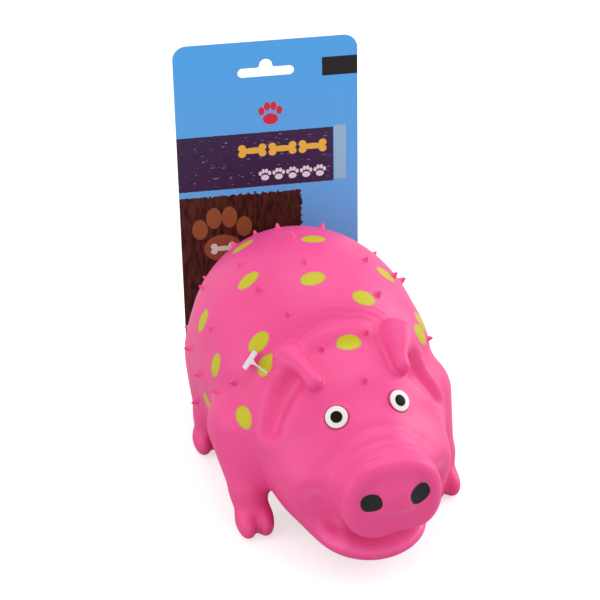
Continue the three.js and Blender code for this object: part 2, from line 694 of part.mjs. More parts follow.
const flangeTopZ = barrelStart.z - fit;
const flangeBottomZ = flangeTopZ - barrel.flange;
const ventZ = flangeBottomZ + vent.recess;
const blockZ = ventZ + vent.thickness + fit;
const guardZ = barrelTopZ - guard.seat - guard.thickness;

function barrelGeometry() {
  const height = barrelTopZ - flangeBottomZ;
  const profile = [
    [barrel.bore, 0], [barrel.flangeRadius, 0], [barrel.flangeRadius, barrel.flange],
    [barrel.radius, barrel.flange], [barrel.radius, height], [barrel.bore, height], [barrel.bore, 0],
  ];
  return geometryOf(solidOf(turned(profile, barrelSides, atBarrel(flangeBottomZ), up)));
}

function disc(radius, thickness, z) {
  return solidOf(rod(radius, barrelSides, atBarrel(z), atBarrel(z + thickness)));
}

function drilled(solid, x, y, z, thickness, radius) {
  const from = new THREE.Vector3(x, barrel.y + y, z - overrun);
  const to = new THREE.Vector3(x, barrel.y + y, z + thickness + overrun);
  return solid.subtract(solidOf(rod(radius, filament.sides, from, to)));
}

function ventGeometry() {
  let solid = disc(barrel.bore - fit, vent.thickness, ventZ);
  for (let n = 0; n < ventHoles; n++) {
    const angle = (n * 2 * Math.PI) / ventHoles;
    const x = vent.ring * Math.cos(angle);
    const y = vent.ring * Math.sin(angle);
    solid = drilled(solid, x, y, ventZ, vent.thickness, vent.holeRadius);
  }
  return geometryOf(solid);
}

function guardGeometry() {
  let solid = disc(barrel.bore - fit, guard.thickness, guardZ);
  solid = drilled(solid, 0, 0, guardZ, guard.thickness, guard.holeRadius);
  for (let ring = 1; ring <= guardRings; ring++) {
    for (let n = 0; n < 6 * ring; n++) {
      const angle = (n * 2 * Math.PI) / (6 * ring);
      const x = ring * guard.pitch * Math.cos(angle);
      const y = ring * guard.pitch * Math.sin(angle);
      solid = drilled(solid, x, y, guardZ, guard.thickness, guard.holeRadius);
    }
  }
  return geometryOf(solid);
}

function block(width, depth, height, y, z) {
  const geometry = new THREE.BoxGeometry(width, depth, height);
  return geometry.translate(0, barrel.y + y, z + height / 2);
}

// A half-round block with an open channel in its flat face, which the reed closes
function reedBlockGeometry() {
  const outline = new THREE.Shape();
  outline.moveTo(-reedBlock.halfWidth, 0);
  outline.lineTo(reedBlock.halfWidth, 0);
  outline.absellipse(0, 0, reedBlock.halfWidth, reedBlock.depth, 0, Math.PI, false, 0);
  const settings = { depth: reedBlock.height, bevelEnabled: false, curveSegments: reedBlockSegments };
  const whole = new THREE.ExtrudeGeometry(outline, settings);
  whole.translate(0, barrel.y, blockZ);
  const height = reedBlock.height - reedBlock.foot;
  const channel = block(reedBlock.channelWidth, 2 * reedBlock.channel, height, 0, blockZ + reedBlock.foot);
  return geometryOf(solidOf(whole).subtract(solidOf(channel)));
}

function reedGeometry() {
  const y = -fit - reed.thickness / 2;
  return block(reed.width, reed.thickness, reed.height, y, blockZ);
}

function wedgeGeometry() {
  const outline = new THREE.Shape();
  const front = -2 * fit - reed.thickness;
  outline.moveTo(front, 0);
  outline.lineTo(front, wedge.height);
  outline.lineTo(front - wedge.nose, wedge.height);
  outline.lineTo(front - wedge.thickness, 0);
  const geometry = new THREE.ExtrudeGeometry(outline, { depth: wedge.width, bevelEnabled: false });
  geometry.rotateY(Math.PI / 2);
  geometry.rotateX(Math.PI / 2);
  return geometry.translate(-wedge.width / 2, barrel.y, blockZ);
}

// Card: a rounded board with a peg slot and two pin holes, drawn along its width and height
function roundedOutline(shape, width, height, radius) {
  shape.moveTo(radius, 0);
  shape.lineTo(width - radius, 0);
  shape.absarc(width - radius, radius, radius, -Math.PI / 2, 0, false);
  shape.lineTo(width, height - radius);
  shape.absarc(width - radius, height - radius, radius, 0, Math.PI / 2, false);
  shape.lineTo(radius, height);
  shape.absarc(radius, height - radius, radius, Math.PI / 2, Math.PI, false);
  shape.lineTo(0, radius);
  shape.absarc(radius, radius, radius, Math.PI, 1.5 * Math.PI, false);
}

function pegSlot() {
  const path = new THREE.Path();
  const low = card.height - slot.belowTop;
  const middle = card.width / 2;
  const end = slot.barHeight / 2;
  const top = low + slot.barHeight;
  const crown = slot.humpWidth / 2;
  const crownZ = low + slot.humpHeight - crown;
  const left = middle - slot.width / 2;
  const right = middle + slot.width / 2;
  path.moveTo(left + end, low);
  path.lineTo(right - end, low);
  path.absarc(right - end, low + end, end, -Math.PI / 2, Math.PI / 2, false);
  path.lineTo(middle + crown + slot.shoulder, top);
  path.quadraticCurveTo(middle + crown, top, middle + crown, crownZ);
  path.absarc(middle, crownZ, crown, 0, Math.PI, false);
  path.quadraticCurveTo(middle - crown, top, middle - crown - slot.shoulder, top);
  path.lineTo(left + end, top);
  path.absarc(left + end, low + end, end, Math.PI / 2, 1.5 * Math.PI, false);
  return path;
}

function cardGeometry() {
  const outline = new THREE.Shape();
  roundedOutline(outline, card.width, card.height, card.corner);
  outline.holes.push(pegSlot());
  for (const sign of [-1, 1]) {
    const hole = new THREE.Path();
    const across = card.width / 2 + (sign * cardPin.apart) / 2;
    hole.absarc(across, cardPin.z - card.offFloor, pinHole, 0, 2 * Math.PI, true);
    outline.holes.push(hole);
  }
  const settings = { depth: card.thickness, bevelEnabled: false, curveSegments: cornerSegments };
  const geometry = new THREE.ExtrudeGeometry(outline, settings);
  geometry.rotateX(Math.PI / 2);
  geometry.translate(-card.width / 2, card.thickness, 0);
  return geometryOf(solidOf(geometry));
}

function bareRod(from, to) {
  return solidOf(rod(filament.radius, filament.sides, from, to));
}

function crossBar(middle, along) {
  const from = middle.clone().addScaledVector(along, -bar.length / 2);
  const to = middle.clone().addScaledVector(along, bar.length / 2);
  return solidOf(rod(bar.radius, filament.sides, from, to));
}

function cardPinGeometry({ onCard, inner }) {
  const behind = onCard.clone().addScaledVector(cardAway, card.thickness + fit + bar.radius);
  let solid = bareRod(inner, behind);
  solid = solid.add(crossBar(behind, cardAlong));
  return geometryOf(solid.add(crossBar(inner, cardAlong)));
}

// The flank pin: its filament leaves the hole, bends down to the skin and ends in a flat paddle
function flankPinGeometry() {
  const lifted = flankHole.clone().addScaledVector(flankNormal, flankPin.lift);
  const reach = new THREE.Vector3(flankPin.reachX, flankPin.reachY, flankPin.reachZ);
  const end = lifted.clone().add(reach);
  const along = reach.clone().normalize();
  const inner = flankHole.clone().addScaledVector(flankNormal, -wall);
  const outer = flankHole.clone().addScaledVector(flankNormal, flankPin.rise);
  const neckStart = end.clone().addScaledVector(along, -paddle.neck);
  const route = new THREE.CatmullRomCurve3([flankBarAt, inner, flankHole, outer, neckStart]);
  let solid = solidOf(tube(route, filament.steps, filament.radius, filament.sides));
  const spin = flankNormal.clone().cross(along).normalize();
  const outline = new THREE.Shape();
  outline.moveTo(-paddle.neck, -filament.radius);
  outline.lineTo(0, -paddle.neckWidth / 2);
  outline.lineTo(0, -paddle.length / 2);
  outline.lineTo(paddle.width, -paddle.length / 2);
  outline.lineTo(paddle.width, paddle.length / 2);
  outline.lineTo(0, paddle.length / 2);
  outline.lineTo(0, paddle.neckWidth / 2);
  outline.lineTo(-paddle.neck, filament.radius);
  const flat = new THREE.ExtrudeGeometry(outline, { depth: paddle.thickness, bevelEnabled: false });
  flat.translate(0, 0, -paddle.thickness / 2);
  const normal = along.clone().cross(spin).normalize();
  flat.applyMatrix4(new THREE.Matrix4().makeBasis(along, spin, normal));
  flat.translate(end.x, end.y, end.z);
  solid = solid.add(solidOf(flat));
  return geometryOf(solid.add(crossBar(flankBarAt, spin)));
}

// Materials
const latex = { color: 0xf0568f, roughness: 0.45, metalness: 0 };
const fibre = { color: 0xf2f1ec, roughness: 1, metalness: 0 };
const soundPlastic = { color: 0xf4f4f2, roughness: 0.4, metalness: 0 };
const film = { color: 0xdedcd2, roughness: 0.3, metalness: 0 };
const board = { color: 0x57a6ea, roughness: 0.35, metalness: 0 };
const nylon = { color: 0xf3eef2, roughness: 0.4, metalness: 0 };

function node(name, geometry, look) {
  const mesh = new THREE.Mesh(geometry, new THREE.MeshStandardMaterial(look));
  mesh.name = name;
  return mesh;
}

const toy = new THREE.Group();
toy.add(node("latex_skin", skin(), latex));
toy.add(node("fibre_filling", filling(), fibre));

const sounder = new THREE.Group();
sounder.add(node("grunter_barrel", barrelGeometry(), soundPlastic));
sounder.add(node("grunter_vent_cap", ventGeometry(), soundPlastic));
sounder.add(node("grunter_fibre_guard", guardGeometry(), soundPlastic));
sounder.add(node("grunter_reed_block", reedBlockGeometry(), soundPlastic));
sounder.add(node("grunter_reed", reedGeometry(), film));
sounder.add(node("grunter_reed_wedge", wedgeGeometry(), soundPlastic));
toy.add(sounder);

const cardMesh = node("hang_card", cardGeometry(), board);
cardMesh.position.copy(cardFront).setZ(card.offFloor);
cardMesh.rotation.z = cardTurn;
toy.add(cardMesh);
toy.add(node("card_tag_pin_right", cardPinGeometry(cardPinPlaces[0]), nylon));
toy.add(node("card_tag_pin_left", cardPinGeometry(cardPinPlaces[1]), nylon));
toy.add(node("flank_tag_pin", flankPinGeometry(), nylon));

// The origin is the middle of the footprint, on the floor
toy.updateMatrixWorld(true);
const bounds = new THREE.Box3().setFromObject(toy, true);
const middle = bounds.getCenter(new THREE.Vector3());
toy.position.set(-middle.x, -middle.y, -bounds.min.z);

const part = new THREE.Group();
part.add(toy);

export default part;
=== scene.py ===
import math

import bpy
import numpy as np
from mathutils import Matrix, Vector


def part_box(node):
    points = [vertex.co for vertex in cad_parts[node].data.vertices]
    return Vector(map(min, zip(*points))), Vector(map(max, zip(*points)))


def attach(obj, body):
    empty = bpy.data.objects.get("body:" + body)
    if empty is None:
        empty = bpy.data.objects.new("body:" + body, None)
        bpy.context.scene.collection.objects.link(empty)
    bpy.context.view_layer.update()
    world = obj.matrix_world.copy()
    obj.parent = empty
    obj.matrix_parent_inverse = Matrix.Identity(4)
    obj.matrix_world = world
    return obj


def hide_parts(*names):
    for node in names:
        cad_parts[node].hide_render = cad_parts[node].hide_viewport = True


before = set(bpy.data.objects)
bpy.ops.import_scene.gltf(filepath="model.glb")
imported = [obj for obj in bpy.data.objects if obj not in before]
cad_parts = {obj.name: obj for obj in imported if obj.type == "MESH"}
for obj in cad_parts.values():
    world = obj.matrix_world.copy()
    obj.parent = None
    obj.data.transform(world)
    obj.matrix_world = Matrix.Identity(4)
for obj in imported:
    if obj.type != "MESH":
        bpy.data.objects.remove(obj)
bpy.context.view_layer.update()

mm = 0.001
barrelY = 32  # station of the sounder, on the toy's middle


def middleOf(node):
    # the middle of a CAD node's box, in millimetres of the frame
    return np.array([list(corner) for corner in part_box(node)]).mean(0) / mm


toyShift = (middleOf("grunter_barrel") - (0, barrelY, 0)) * (1, 1, 0)
print("frame loaded:", ", ".join(sorted(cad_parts)))

# Camera, at the photograph's viewing angle
camera = {
    "azimuth": -18.205, "elevation": 29.0, "roll": -1.062,
    "focalPixels": 2033.84, "imagePixels": 600, "distance": 1080.43, "target": (-13.478, 0, 113.956),
    "sensorWidth": 36, "clip": (0.05, 30),  # the clip is in metres
}


def makeCamera(settings):
    turn, lift, roll = (math.radians(settings[key]) for key in ("azimuth", "elevation", "roll"))
    back = Vector((math.sin(turn) * math.cos(lift), -math.cos(turn) * math.cos(lift), math.sin(lift)))
    right = Vector((math.cos(turn), math.sin(turn), 0))
    up = back.cross(right)
    across = right * math.cos(roll) + up * math.sin(roll)
    upward = up * math.cos(roll) - right * math.sin(roll)
    lens = bpy.data.cameras.new("studioCamera")
    lens.sensor_width = settings["sensorWidth"]
    lens.lens = settings["focalPixels"] / settings["imagePixels"] * lens.sensor_width
    lens.clip_start, lens.clip_end = settings["clip"]
    holder = bpy.data.objects.new("studioCamera", lens)
    place = (Vector(settings["target"]) + Vector(toyShift) + back * settings["distance"]) * mm
    holder.matrix_world = Matrix.Translation(place) @ Matrix((across, upward, back)).transposed().to_4x4()
    bpy.context.scene.collection.objects.link(holder)
    bpy.context.scene.camera = holder


makeCamera(camera)
print("camera set")


# Small helpers for meshes and materials
def linear(hexColour):
    parts = [int(hexColour[i:i + 2], 16) / 255 for i in (1, 3, 5)]
    return tuple(c / 12.92 if c <= 0.04045 else ((c + 0.055) / 1.055) ** 2.4 for c in parts) + (1.0,)


def addNode(tree, kind, settings=None, inputs=None):
    node = tree.nodes.new(kind)
    for name, value in (settings or {}).items():
        setattr(node, name, value)
    for socket, value in (inputs or {}).items():
        if isinstance(value, bpy.types.NodeSocket):
            tree.links.new(value, node.inputs[socket])
        else:
            node.inputs[socket].default_value = value
    return node


def newMaterial(name):
    material = bpy.data.materials.new(name)
    material.use_nodes = True
    tree = material.node_tree
    tree.nodes.clear()
    shader = addNode(tree, "ShaderNodeBsdfPrincipled")
    addNode(tree, "ShaderNodeOutputMaterial", None, {"Surface": shader.outputs[0]})
    return material, tree, shader


def newMesh(name, points, faces, smooth=True):
    mesh = bpy.data.meshes.new(name)
    mesh.from_pydata([tuple(p) for p in points], [], [tuple(int(v) for v in f) for f in faces])
    mesh.validate()
    mesh.polygons.foreach_set("use_smooth", [smooth] * len(mesh.polygons))
    mesh.update()
    return mesh


def newPiece(name, mesh, body, material=None):
    piece = bpy.data.objects.new(name, mesh)
    bpy.context.scene.collection.objects.link(piece)
    if material:
        mesh.materials.clear()
        mesh.materials.append(material)
    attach(piece, body)
    return piece


def dress(name, material):
    # gives one of the frame's own nodes its finish
    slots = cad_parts[name].data.materials
    slots.clear()
    slots.append(material)


def toFrame(points):
    return (np.asarray(points, float) + toyShift) * mm


# Plain forms as distances, negative inside
farAway = 50  # stands for nowhere near


def ellipsoid(p, centre, radii):
    q = (p - np.asarray(centre, np.float32)) / np.asarray(radii, np.float32)
    scaled = np.sqrt((q * q).sum(1))
    slope = np.sqrt(((q / np.asarray(radii, np.float32)) ** 2).sum(1))
    return scaled * (scaled - 1) / np.maximum(slope, 1e-6)


def roundCone(p, a, b, radiusA, radiusB):
    a, b = np.asarray(a, np.float32), np.asarray(b, np.float32)
    along = b - a
    start = p - a
    length2 = float(along @ along)
    taper = radiusA - radiusB
    slant2 = length2 - taper * taper
    y = start @ along
    z = y - length2
    across = start * length2 - y[:, None] * along
    x2 = (across * across).sum(1)
    limit = math.copysign(taper * taper, taper) * x2
    atEnd = np.sign(z) * slant2 * z * z * length2 > limit
    atStart = np.sign(y) * slant2 * y * y * length2 < limit
    endGap = np.sqrt(x2 + z * z * length2) / length2 - radiusB
    startGap = np.sqrt(x2 + y * y * length2) / length2 - radiusA
    sideGap = (np.sqrt(x2 * slant2 / length2) + y * taper) / length2 - radiusA
    return np.where(atEnd, endGap, np.where(atStart, startGap, sideGap))


def capsule(p, a, b, radius):
    a, b = np.asarray(a, np.float32), np.asarray(b, np.float32)
    share = np.clip(((p - a) @ (b - a)) / float((b - a) @ (b - a)), 0, 1)
    return np.linalg.norm(p - a - share[:, None] * (b - a), axis=1) - radius


def join(a, b, soft):
    near = np.maximum(soft - np.abs(a - b), 0) / soft
    return np.minimum(a, b) - near * near * soft / 4


def cut(a, b, soft):
    return -join(-a, b, soft)


def bell(t):
    return np.exp(-t * t)


def tilted(p, centre, degrees):
    c, s = math.cos(math.radians(degrees)), math.sin(math.radians(degrees))
    x, y, z = (p - np.asarray(centre, np.float32)).T
    return np.stack([x, y * c + z * s, z * c - y * s], 1)


def mirrored(p, skew=0.0):
    return np.stack([np.abs(p[:, 0] - skew), p[:, 1], p[:, 2]], 1)


# Latex skin: one dipped and moulded shell, the same forms as the part's drawing, with its fine creases
pigSkin = {
    "wall": 2.4,
    "trunk": {"centre": (0, 32, 64), "radii": (64, 80, 65.5), "bellyZ": 8, "bellySoft": 20},
    "head": {"back": (0, -32.5, 53), "front": (0, -63, 43), "radii": (46, 26), "width": 1.19, "soft": 10},
    "shoulder": {"centre": (28, 4, 72), "radii": (31.5, 30, 30), "soft": 8},
    "throat": {"centre": (0, -57, 35), "radii": (44.3, 34.5, 32), "soft": 12},
    "cheek": {"centre": (26, -64, 46), "radii": (19, 21, 19), "soft": 10},
    "muzzle": {"back": (0, -70, 51), "front": (0, -91, 50), "radii": (29.5, 22), "soft": 12},
    "snout": {
        "centre": (0, -96, 50), "tilt": -6, "halfWidth": 27, "halfHeight": 22.3, "halfDepth": 12.3,
        "round": 7, "square": 2.6, "soft": 4,
        "lipX": 4, "lipRise": 3.2, "lipWidth": 9, "lipStart": 8, "lipFull": 22,
    },
    "jaw": {"centre": (-3.2, -76.2, 22.4), "radii": (31.6, 32.4, 16), "soft": 8},
    "mouth": {
        "centre": (-1, -97, 33), "radii": (27.5, 21, 12), "tilt": -6, "soft": 10, "innerSoft": 12,
        "cornerLow": (29.5, -90.5, 32), "cornerHigh": (38.5, -85.5, 44.5),
        "cornerRadii": (6.5, 4), "cornerSoft": 8,
    },
    "frontLeg": {
        "hip": (45.5, -10.5, 50.5), "knee": (54.3, -31, 22), "ankle": (53.4, -36, 9.5),
        "radii": (23.5, 9.3, 9.2), "soft": 6, "skew": -0.6,
    },
    "rearLeg": {
        "hip": (39, 52, 57), "knee": (51.3, 48.5, 22), "ankle": (53.3, 50, 8),
        "radii": (20.5, 9.8, 8), "soft": 14, "skew": 0,
    },
    "toe": {
        "radii": (5.1, 9.2, 7.8), "z": 7.2, "apart": 4.8, "ahead": 2.2, "turn": 3, "soft": 1.8, "legSoft": 4,
    },
    "ear": {
        "tip": (24.5, -49.5, 93), "turn": (32.5, -32.5, 90), "lobe": (46, -44, 68),
        "folds": {-1: ((31.5, -28.5, 97), 8.2), 1: ((29, -28.5, 98), 10)},  # the right one folds lower
        "radii": (4.9, 7.4, 3), "ridgeSunk": 2, "join": 3, "flapSoft": 2, "soft": 7, "skew": 1.5,
    },
    "troughs": {  # top, middle and low end, and the radius at each
        -1: ((34, -42, 91), (41, -42, 81.5), (47.5, -47, 69), (3.4, 5, 3.6)),
        1: ((31.5, -45, 91), (38.5, -44.5, 82), (46, -50, 68), (4, 6.4, 4)),
    },
    "troughSoft": 9,
    "cheekCrease": {"low": (24, -84, 27), "high": (32.5, -81, 41), "depth": 2.4, "halfWidth": 4.5},
    "neckFolds": [(-22, 1.6, 4.5, 60), (-33, 0.9, 3.5, 20)],  # station, depth, half width, reach
    "foldFade": (55, 85),
    "bellyHole": {"radius": 11.3, "top": 60, "sides": 48},
    "neckRipples": {  # bowed creases, drawn a little out of line by a slow wander
        "gap": 3.3, "depth": 0.055, "bow": 0.004, "wander": 6.6, "wanderSize": 22,
        "from": -30, "fromSoft": 8, "to": -2, "toSoft": 16, "reach": 40, "lowest": 80, "lowSoft": 14,
    },
    "snoutRings": [  # behind the snout's face: place along the disc, depth, half width, lowest height
        (-6.4, 0.5, 1.2, 2), (-2.6, 0.45, 1.1, 4), (1.2, 0.8, 1.5, 6), (6, 0.5, 1.6, 6), (13.5, 0.9, 3, 8),
    ],
    "ringSoft": 9, "ringsAbove": 40,
    "nostrils": [(-13.6, 2.4, 5.4, 4.9, 8), (12.6, 2.5, 6.0, 5.2, 24)],  # across, up, half sizes, turn
    "nostrilSquare": 2.4, "nostrilDepth": 0.9, "nostrilSoft": 2.2,
    "eye": {
        "x": 17.2, "y": -66.8, "skew": 0.9, "coreZ": 60, "radius": 5.9, "turn": 26, "lift": 43, "stands": 0.9,
        "boss": 6.3, "bossSoft": 3, "bossTop": -0.7, "bossHalfDepth": 3,
        "groove": 0.55, "grooveWidth": 0.7, "grooveOut": 0.5, "reach": 6,
    },
}


def trunkAndHead(p):
    s = pigSkin
    side = mirrored(p)
    belly = cut(ellipsoid(p, s["trunk"]["centre"], s["trunk"]["radii"]), p[:, 2] - s["trunk"]["bellyZ"],
                s["trunk"]["bellySoft"])
    shoulder = ellipsoid(side, s["shoulder"]["centre"], s["shoulder"]["radii"])
    belly = join(belly, shoulder, s["shoulder"]["soft"])
    narrowed = p * np.array([1 / s["head"]["width"], 1, 1], np.float32)
    form = roundCone(narrowed, s["head"]["back"], s["head"]["front"], *s["head"]["radii"])
    form = join(form, ellipsoid(p, s["throat"]["centre"], s["throat"]["radii"]), s["throat"]["soft"])
    form = join(form, ellipsoid(side, s["cheek"]["centre"], s["cheek"]["radii"]), s["cheek"]["soft"])
    muzzle = roundCone(p, s["muzzle"]["back"], s["muzzle"]["front"], *s["muzzle"]["radii"])
    form = join(form, muzzle, s["muzzle"]["soft"])
    return join(belly, form, s["head"]["soft"])


def foldDepth(p):
    low, high = pigSkin["foldFade"]
    depth = np.zeros(len(p), np.float32)
    for station, deep, halfWidth, reach in pigSkin["neckFolds"]:
        depth += deep * bell((p[:, 1] - station) / halfWidth) * bell((p[:, 0] / reach) ** 2)
    return np.clip((p[:, 2] - low) / (high - low), 0, 1) * depth


def mouthField(p):
    # the open mouth, with a fold that runs from each corner up the cheek
    m = pigSkin["mouth"]
    corners = roundCone(mirrored(p), m["cornerLow"], m["cornerHigh"], *m["cornerRadii"])
    return join(ellipsoid(tilted(p, m["centre"], m["tilt"]), (0, 0, 0), m["radii"]), corners, m["cornerSoft"])


def snoutPlace(p):
    # across, up and along the disc, with the raised lip drawn level
    s = pigSkin["snout"]
    x, y, z = tilted(p, s["centre"], s["tilt"]).T
    low = np.clip((-z - s["lipStart"]) / (s["lipFull"] - s["lipStart"]), 0, 1)
    return x, z - s["lipRise"] * bell((x - s["lipX"]) / s["lipWidth"]) * low, y


def snoutField(p):
    s = pigSkin["snout"]
    x, z, y = snoutPlace(p)
    n, edge = s["square"], s["round"]
    a, b = s["halfWidth"] - edge, s["halfHeight"] - edge
    x, z = np.abs(x) + 1e-4, np.abs(z) + 1e-4
    level = ((x / a) ** n + (z / b) ** n) ** (1 / n)
    slope = np.hypot(x ** (n - 1) / a ** n, z ** (n - 1) / b ** n)
    side = (level - 1) / (slope * level ** (1 - n))
    end = np.abs(y) - s["halfDepth"] + edge
    return np.minimum(np.maximum(side, end), 0) + np.hypot(np.maximum(side, 0), np.maximum(end, 0)) - edge


def nostrilField(p):
    # distance in the face of the snout to the edge of the nearer nostril
    x, z, y = snoutPlace(p)
    nearest = np.full(len(p), farAway, np.float32)
    n = pigSkin["nostrilSquare"]
    for across, up, halfWidth, halfHeight, turn in pigSkin["nostrils"]:
        c, s = math.cos(math.radians(turn)), math.sin(math.radians(turn))
        dx, dz = x - across, z - up
        u, v = (dx * c + dz * s) / halfWidth, (dz * c - dx * s) / halfHeight
        level = (np.abs(u) ** n + np.abs(v) ** n) ** (1 / n)
        nearest = np.minimum(nearest, np.where(y < 0, (level - 1) * (halfWidth + halfHeight) / 2, farAway))
    return nearest


def fromDisc(p, point, facing):
    # height above an eye's disc, and distance from its middle line
    away = p - point
    high = away @ facing
    return high, np.sqrt(np.maximum((away * away).sum(1) - high * high, 0))


def eyeBoss(p):
    # the low mound of skin that carries each eye disc
    e = pigSkin["eye"]
    nearest = np.full(len(p), farAway, np.float32)
    for point, facing in filter(None, eyePlaces.values()):
        high, wide = fromDisc(p, point, facing)
        level = np.abs(high + e["bossHalfDepth"] - e["bossTop"]) - e["bossHalfDepth"]
        nearest = np.minimum(nearest, np.maximum(wide - e["boss"], level))
    return nearest


def creaseDepth(p):
    # fine creases that only the finished skin has: rings behind the snout, cheeks, nostrils, eye grooves
    x, z, y = snoutPlace(p)
    depth = np.zeros(len(p), np.float32)
    for place, deep, halfWidth, lowest in pigSkin["snoutRings"]:
        fade = np.clip((z - lowest) / pigSkin["ringSoft"], 0, 1) * (p[:, 2] > pigSkin["ringsAbove"])
        depth += deep * bell((y - place) / halfWidth) * fade
    crease = pigSkin["cheekCrease"]
    away = capsule(mirrored(p), crease["low"], crease["high"], 0)
    depth += crease["depth"] * bell(away / crease["halfWidth"])
    sunk = np.clip(0.5 - nostrilField(p) / pigSkin["nostrilSoft"], 0, 1)
    depth += pigSkin["nostrilDepth"] * sunk * sunk * (3 - 2 * sunk)
    e = pigSkin["eye"]
    for point, facing in filter(None, eyePlaces.values()):
        high, wide = fromDisc(p, point, facing)
        ring = bell((wide - e["radius"] - e["grooveOut"]) / e["grooveWidth"])
        depth += e["groove"] * ring * (np.abs(high) < e["reach"])
    return depth


def rippleShare(p):
    # 1 where the bent neck shows its finest creases, falling to 0 round them
    r = pigSkin["neckRipples"]
    station = p[:, 1] + r["bow"] * p[:, 0] ** 2
    near = np.clip((station - r["from"]) / r["fromSoft"], 0, 1)
    near = near * np.clip((r["to"] - station) / r["toSoft"], 0, 1)
    high = np.clip((p[:, 2] - r["lowest"]) / r["lowSoft"], 0, 1)
    return near * bell((p[:, 0] / r["reach"]) ** 4) * high


def earSide(p, sign):
    # one ear's side turned to +X, about the line midway between the ears
    return (p - np.array([pigSkin["ear"]["skew"], 0, 0], np.float32)) * np.array([sign, 1, 1], np.float32)


def withEars(form, p):
    # a ridge and lobe that melt into the neck, and a folded flap with a clear edge
    e = pigSkin["ear"]
    tipRadius, turnRadius, lobeRadius = e["radii"]
    for sign, (fold, foldRadius) in e["folds"].items():
        side = earSide(p, sign)
        flap = roundCone(side, e["tip"], fold, tipRadius, foldRadius)
        ridge = roundCone(side, fold, e["turn"], foldRadius - e["ridgeSunk"], turnRadius)
        lobe = roundCone(side, e["turn"], e["lobe"], turnRadius, lobeRadius)
        form = join(join(form, join(ridge, lobe, e["join"]), e["soft"]), flap, e["flapSoft"])
    return form


def troughField(p):
    # the hollow of each ear, under its flap
    nearest = np.full(len(p), farAway, np.float32)
    for sign, (top, middle, low, (topRadius, middleRadius, lowRadius)) in pigSkin["troughs"].items():
        side = earSide(p, sign)
        upper = roundCone(side, top, middle, topRadius, middleRadius)
        lower = roundCone(side, middle, low, middleRadius, lowRadius)
        nearest = np.minimum(nearest, join(upper, lower, pigSkin["ear"]["join"]))
    return nearest


def legField(p, leg):
    t = pigSkin["toe"]
    side = mirrored(p, leg["skew"])
    thigh = roundCone(side, leg["hip"], leg["knee"], leg["radii"][0], leg["radii"][1])
    shin = roundCone(side, leg["knee"], leg["ankle"], leg["radii"][1], leg["radii"][2])
    dx, dy = side[:, 0] - leg["ankle"][0], side[:, 1] - leg["ankle"][1]
    c, s = math.cos(math.radians(t["turn"])), math.sin(math.radians(t["turn"]))
    q = np.stack([dx * c + dy * s, dy * c - dx * s + 2 * t["ahead"], side[:, 2]], 1)
    toes = join(ellipsoid(q, (t["apart"], 0, t["z"]), t["radii"]),
                ellipsoid(q, (-t["apart"], 0, t["z"]), t["radii"]), t["soft"])
    return join(join(shin, toes, t["legSoft"]), thigh, t["legSoft"])


def outsideField(p):
    s = pigSkin
    p = p.astype(np.float32)
    form = trunkAndHead(p)
    form = join(form, legField(p, s["frontLeg"]), s["frontLeg"]["soft"])
    form = join(form, legField(p, s["rearLeg"]), s["rearLeg"]["soft"])
    form = join(form, ellipsoid(p, s["jaw"]["centre"], s["jaw"]["radii"]), s["jaw"]["soft"])
    form = cut(form, mouthField(p), s["mouth"]["soft"])
    form = join(form, snoutField(p), s["snout"]["soft"])
    form = join(form, eyeBoss(p), s["eye"]["bossSoft"])
    form = form + foldDepth(p) + creaseDepth(p)
    form = withEars(form, p)
    form = cut(form, troughField(p), s["troughSoft"])
    return np.maximum(form, -p[:, 2])


def hollowField(p):
    p = p.astype(np.float32)
    depth = cut(trunkAndHead(p) + foldDepth(p), mouthField(p), pigSkin["mouth"]["innerSoft"])
    return np.maximum(depth, -troughField(p)) + pigSkin["wall"]


def slopeOf(field, p, step=0.05):
    sides = []
    for axis in range(3):
        offset = np.zeros(3)
        offset[axis] = step
        sides.append((field(p + offset) - field(p - offset)) / (2 * step))
    return np.stack(sides, 1)


def surfaceFrom(starts, ways):
    # where lines from inside the skin leave it, and the skin's normals there
    points = np.array(starts, float)
    for turn in range(60):
        points = points - ways * (outsideField(points) / 2)[:, None]
    slope = slopeOf(outsideField, points)
    return points, slope / np.linalg.norm(slope, axis=1)[:, None]


def placesOn(stations, turns, startZ=62):
    # places by their station along the toy and their turn from the ridge, in degrees
    angles = np.radians(np.asarray(turns, float))
    ways = np.stack([np.sin(angles), np.zeros_like(angles), np.cos(angles)], 1)
    starts = np.stack([np.zeros(len(ways)), np.asarray(stations, float), np.full(len(ways), startZ)], 1)
    return surfaceFrom(starts, ways)


eyePlaces = {-1: None, 1: None}


def findEyes(eye):
    # each disc faces forwards more than the skin under it does
    turn, lift = math.radians(eye["turn"]), math.radians(eye["lift"])
    starts = [(sign * eye["x"], eye["y"] + sign * eye["skew"], eye["coreZ"]) for sign in (-1, 1)]
    points, _ = surfaceFrom(starts, np.array([(0, 0, 1.0)] * 2))
    for sign, point in zip((-1, 1), points):
        facing = (sign * math.sin(turn) * math.cos(lift), -math.cos(turn) * math.cos(lift), math.sin(lift))
        facing = np.array(facing, np.float32)
        eyePlaces[sign] = (point.astype(np.float32) + facing * eye["stands"], facing)


findEyes(pigSkin["eye"])


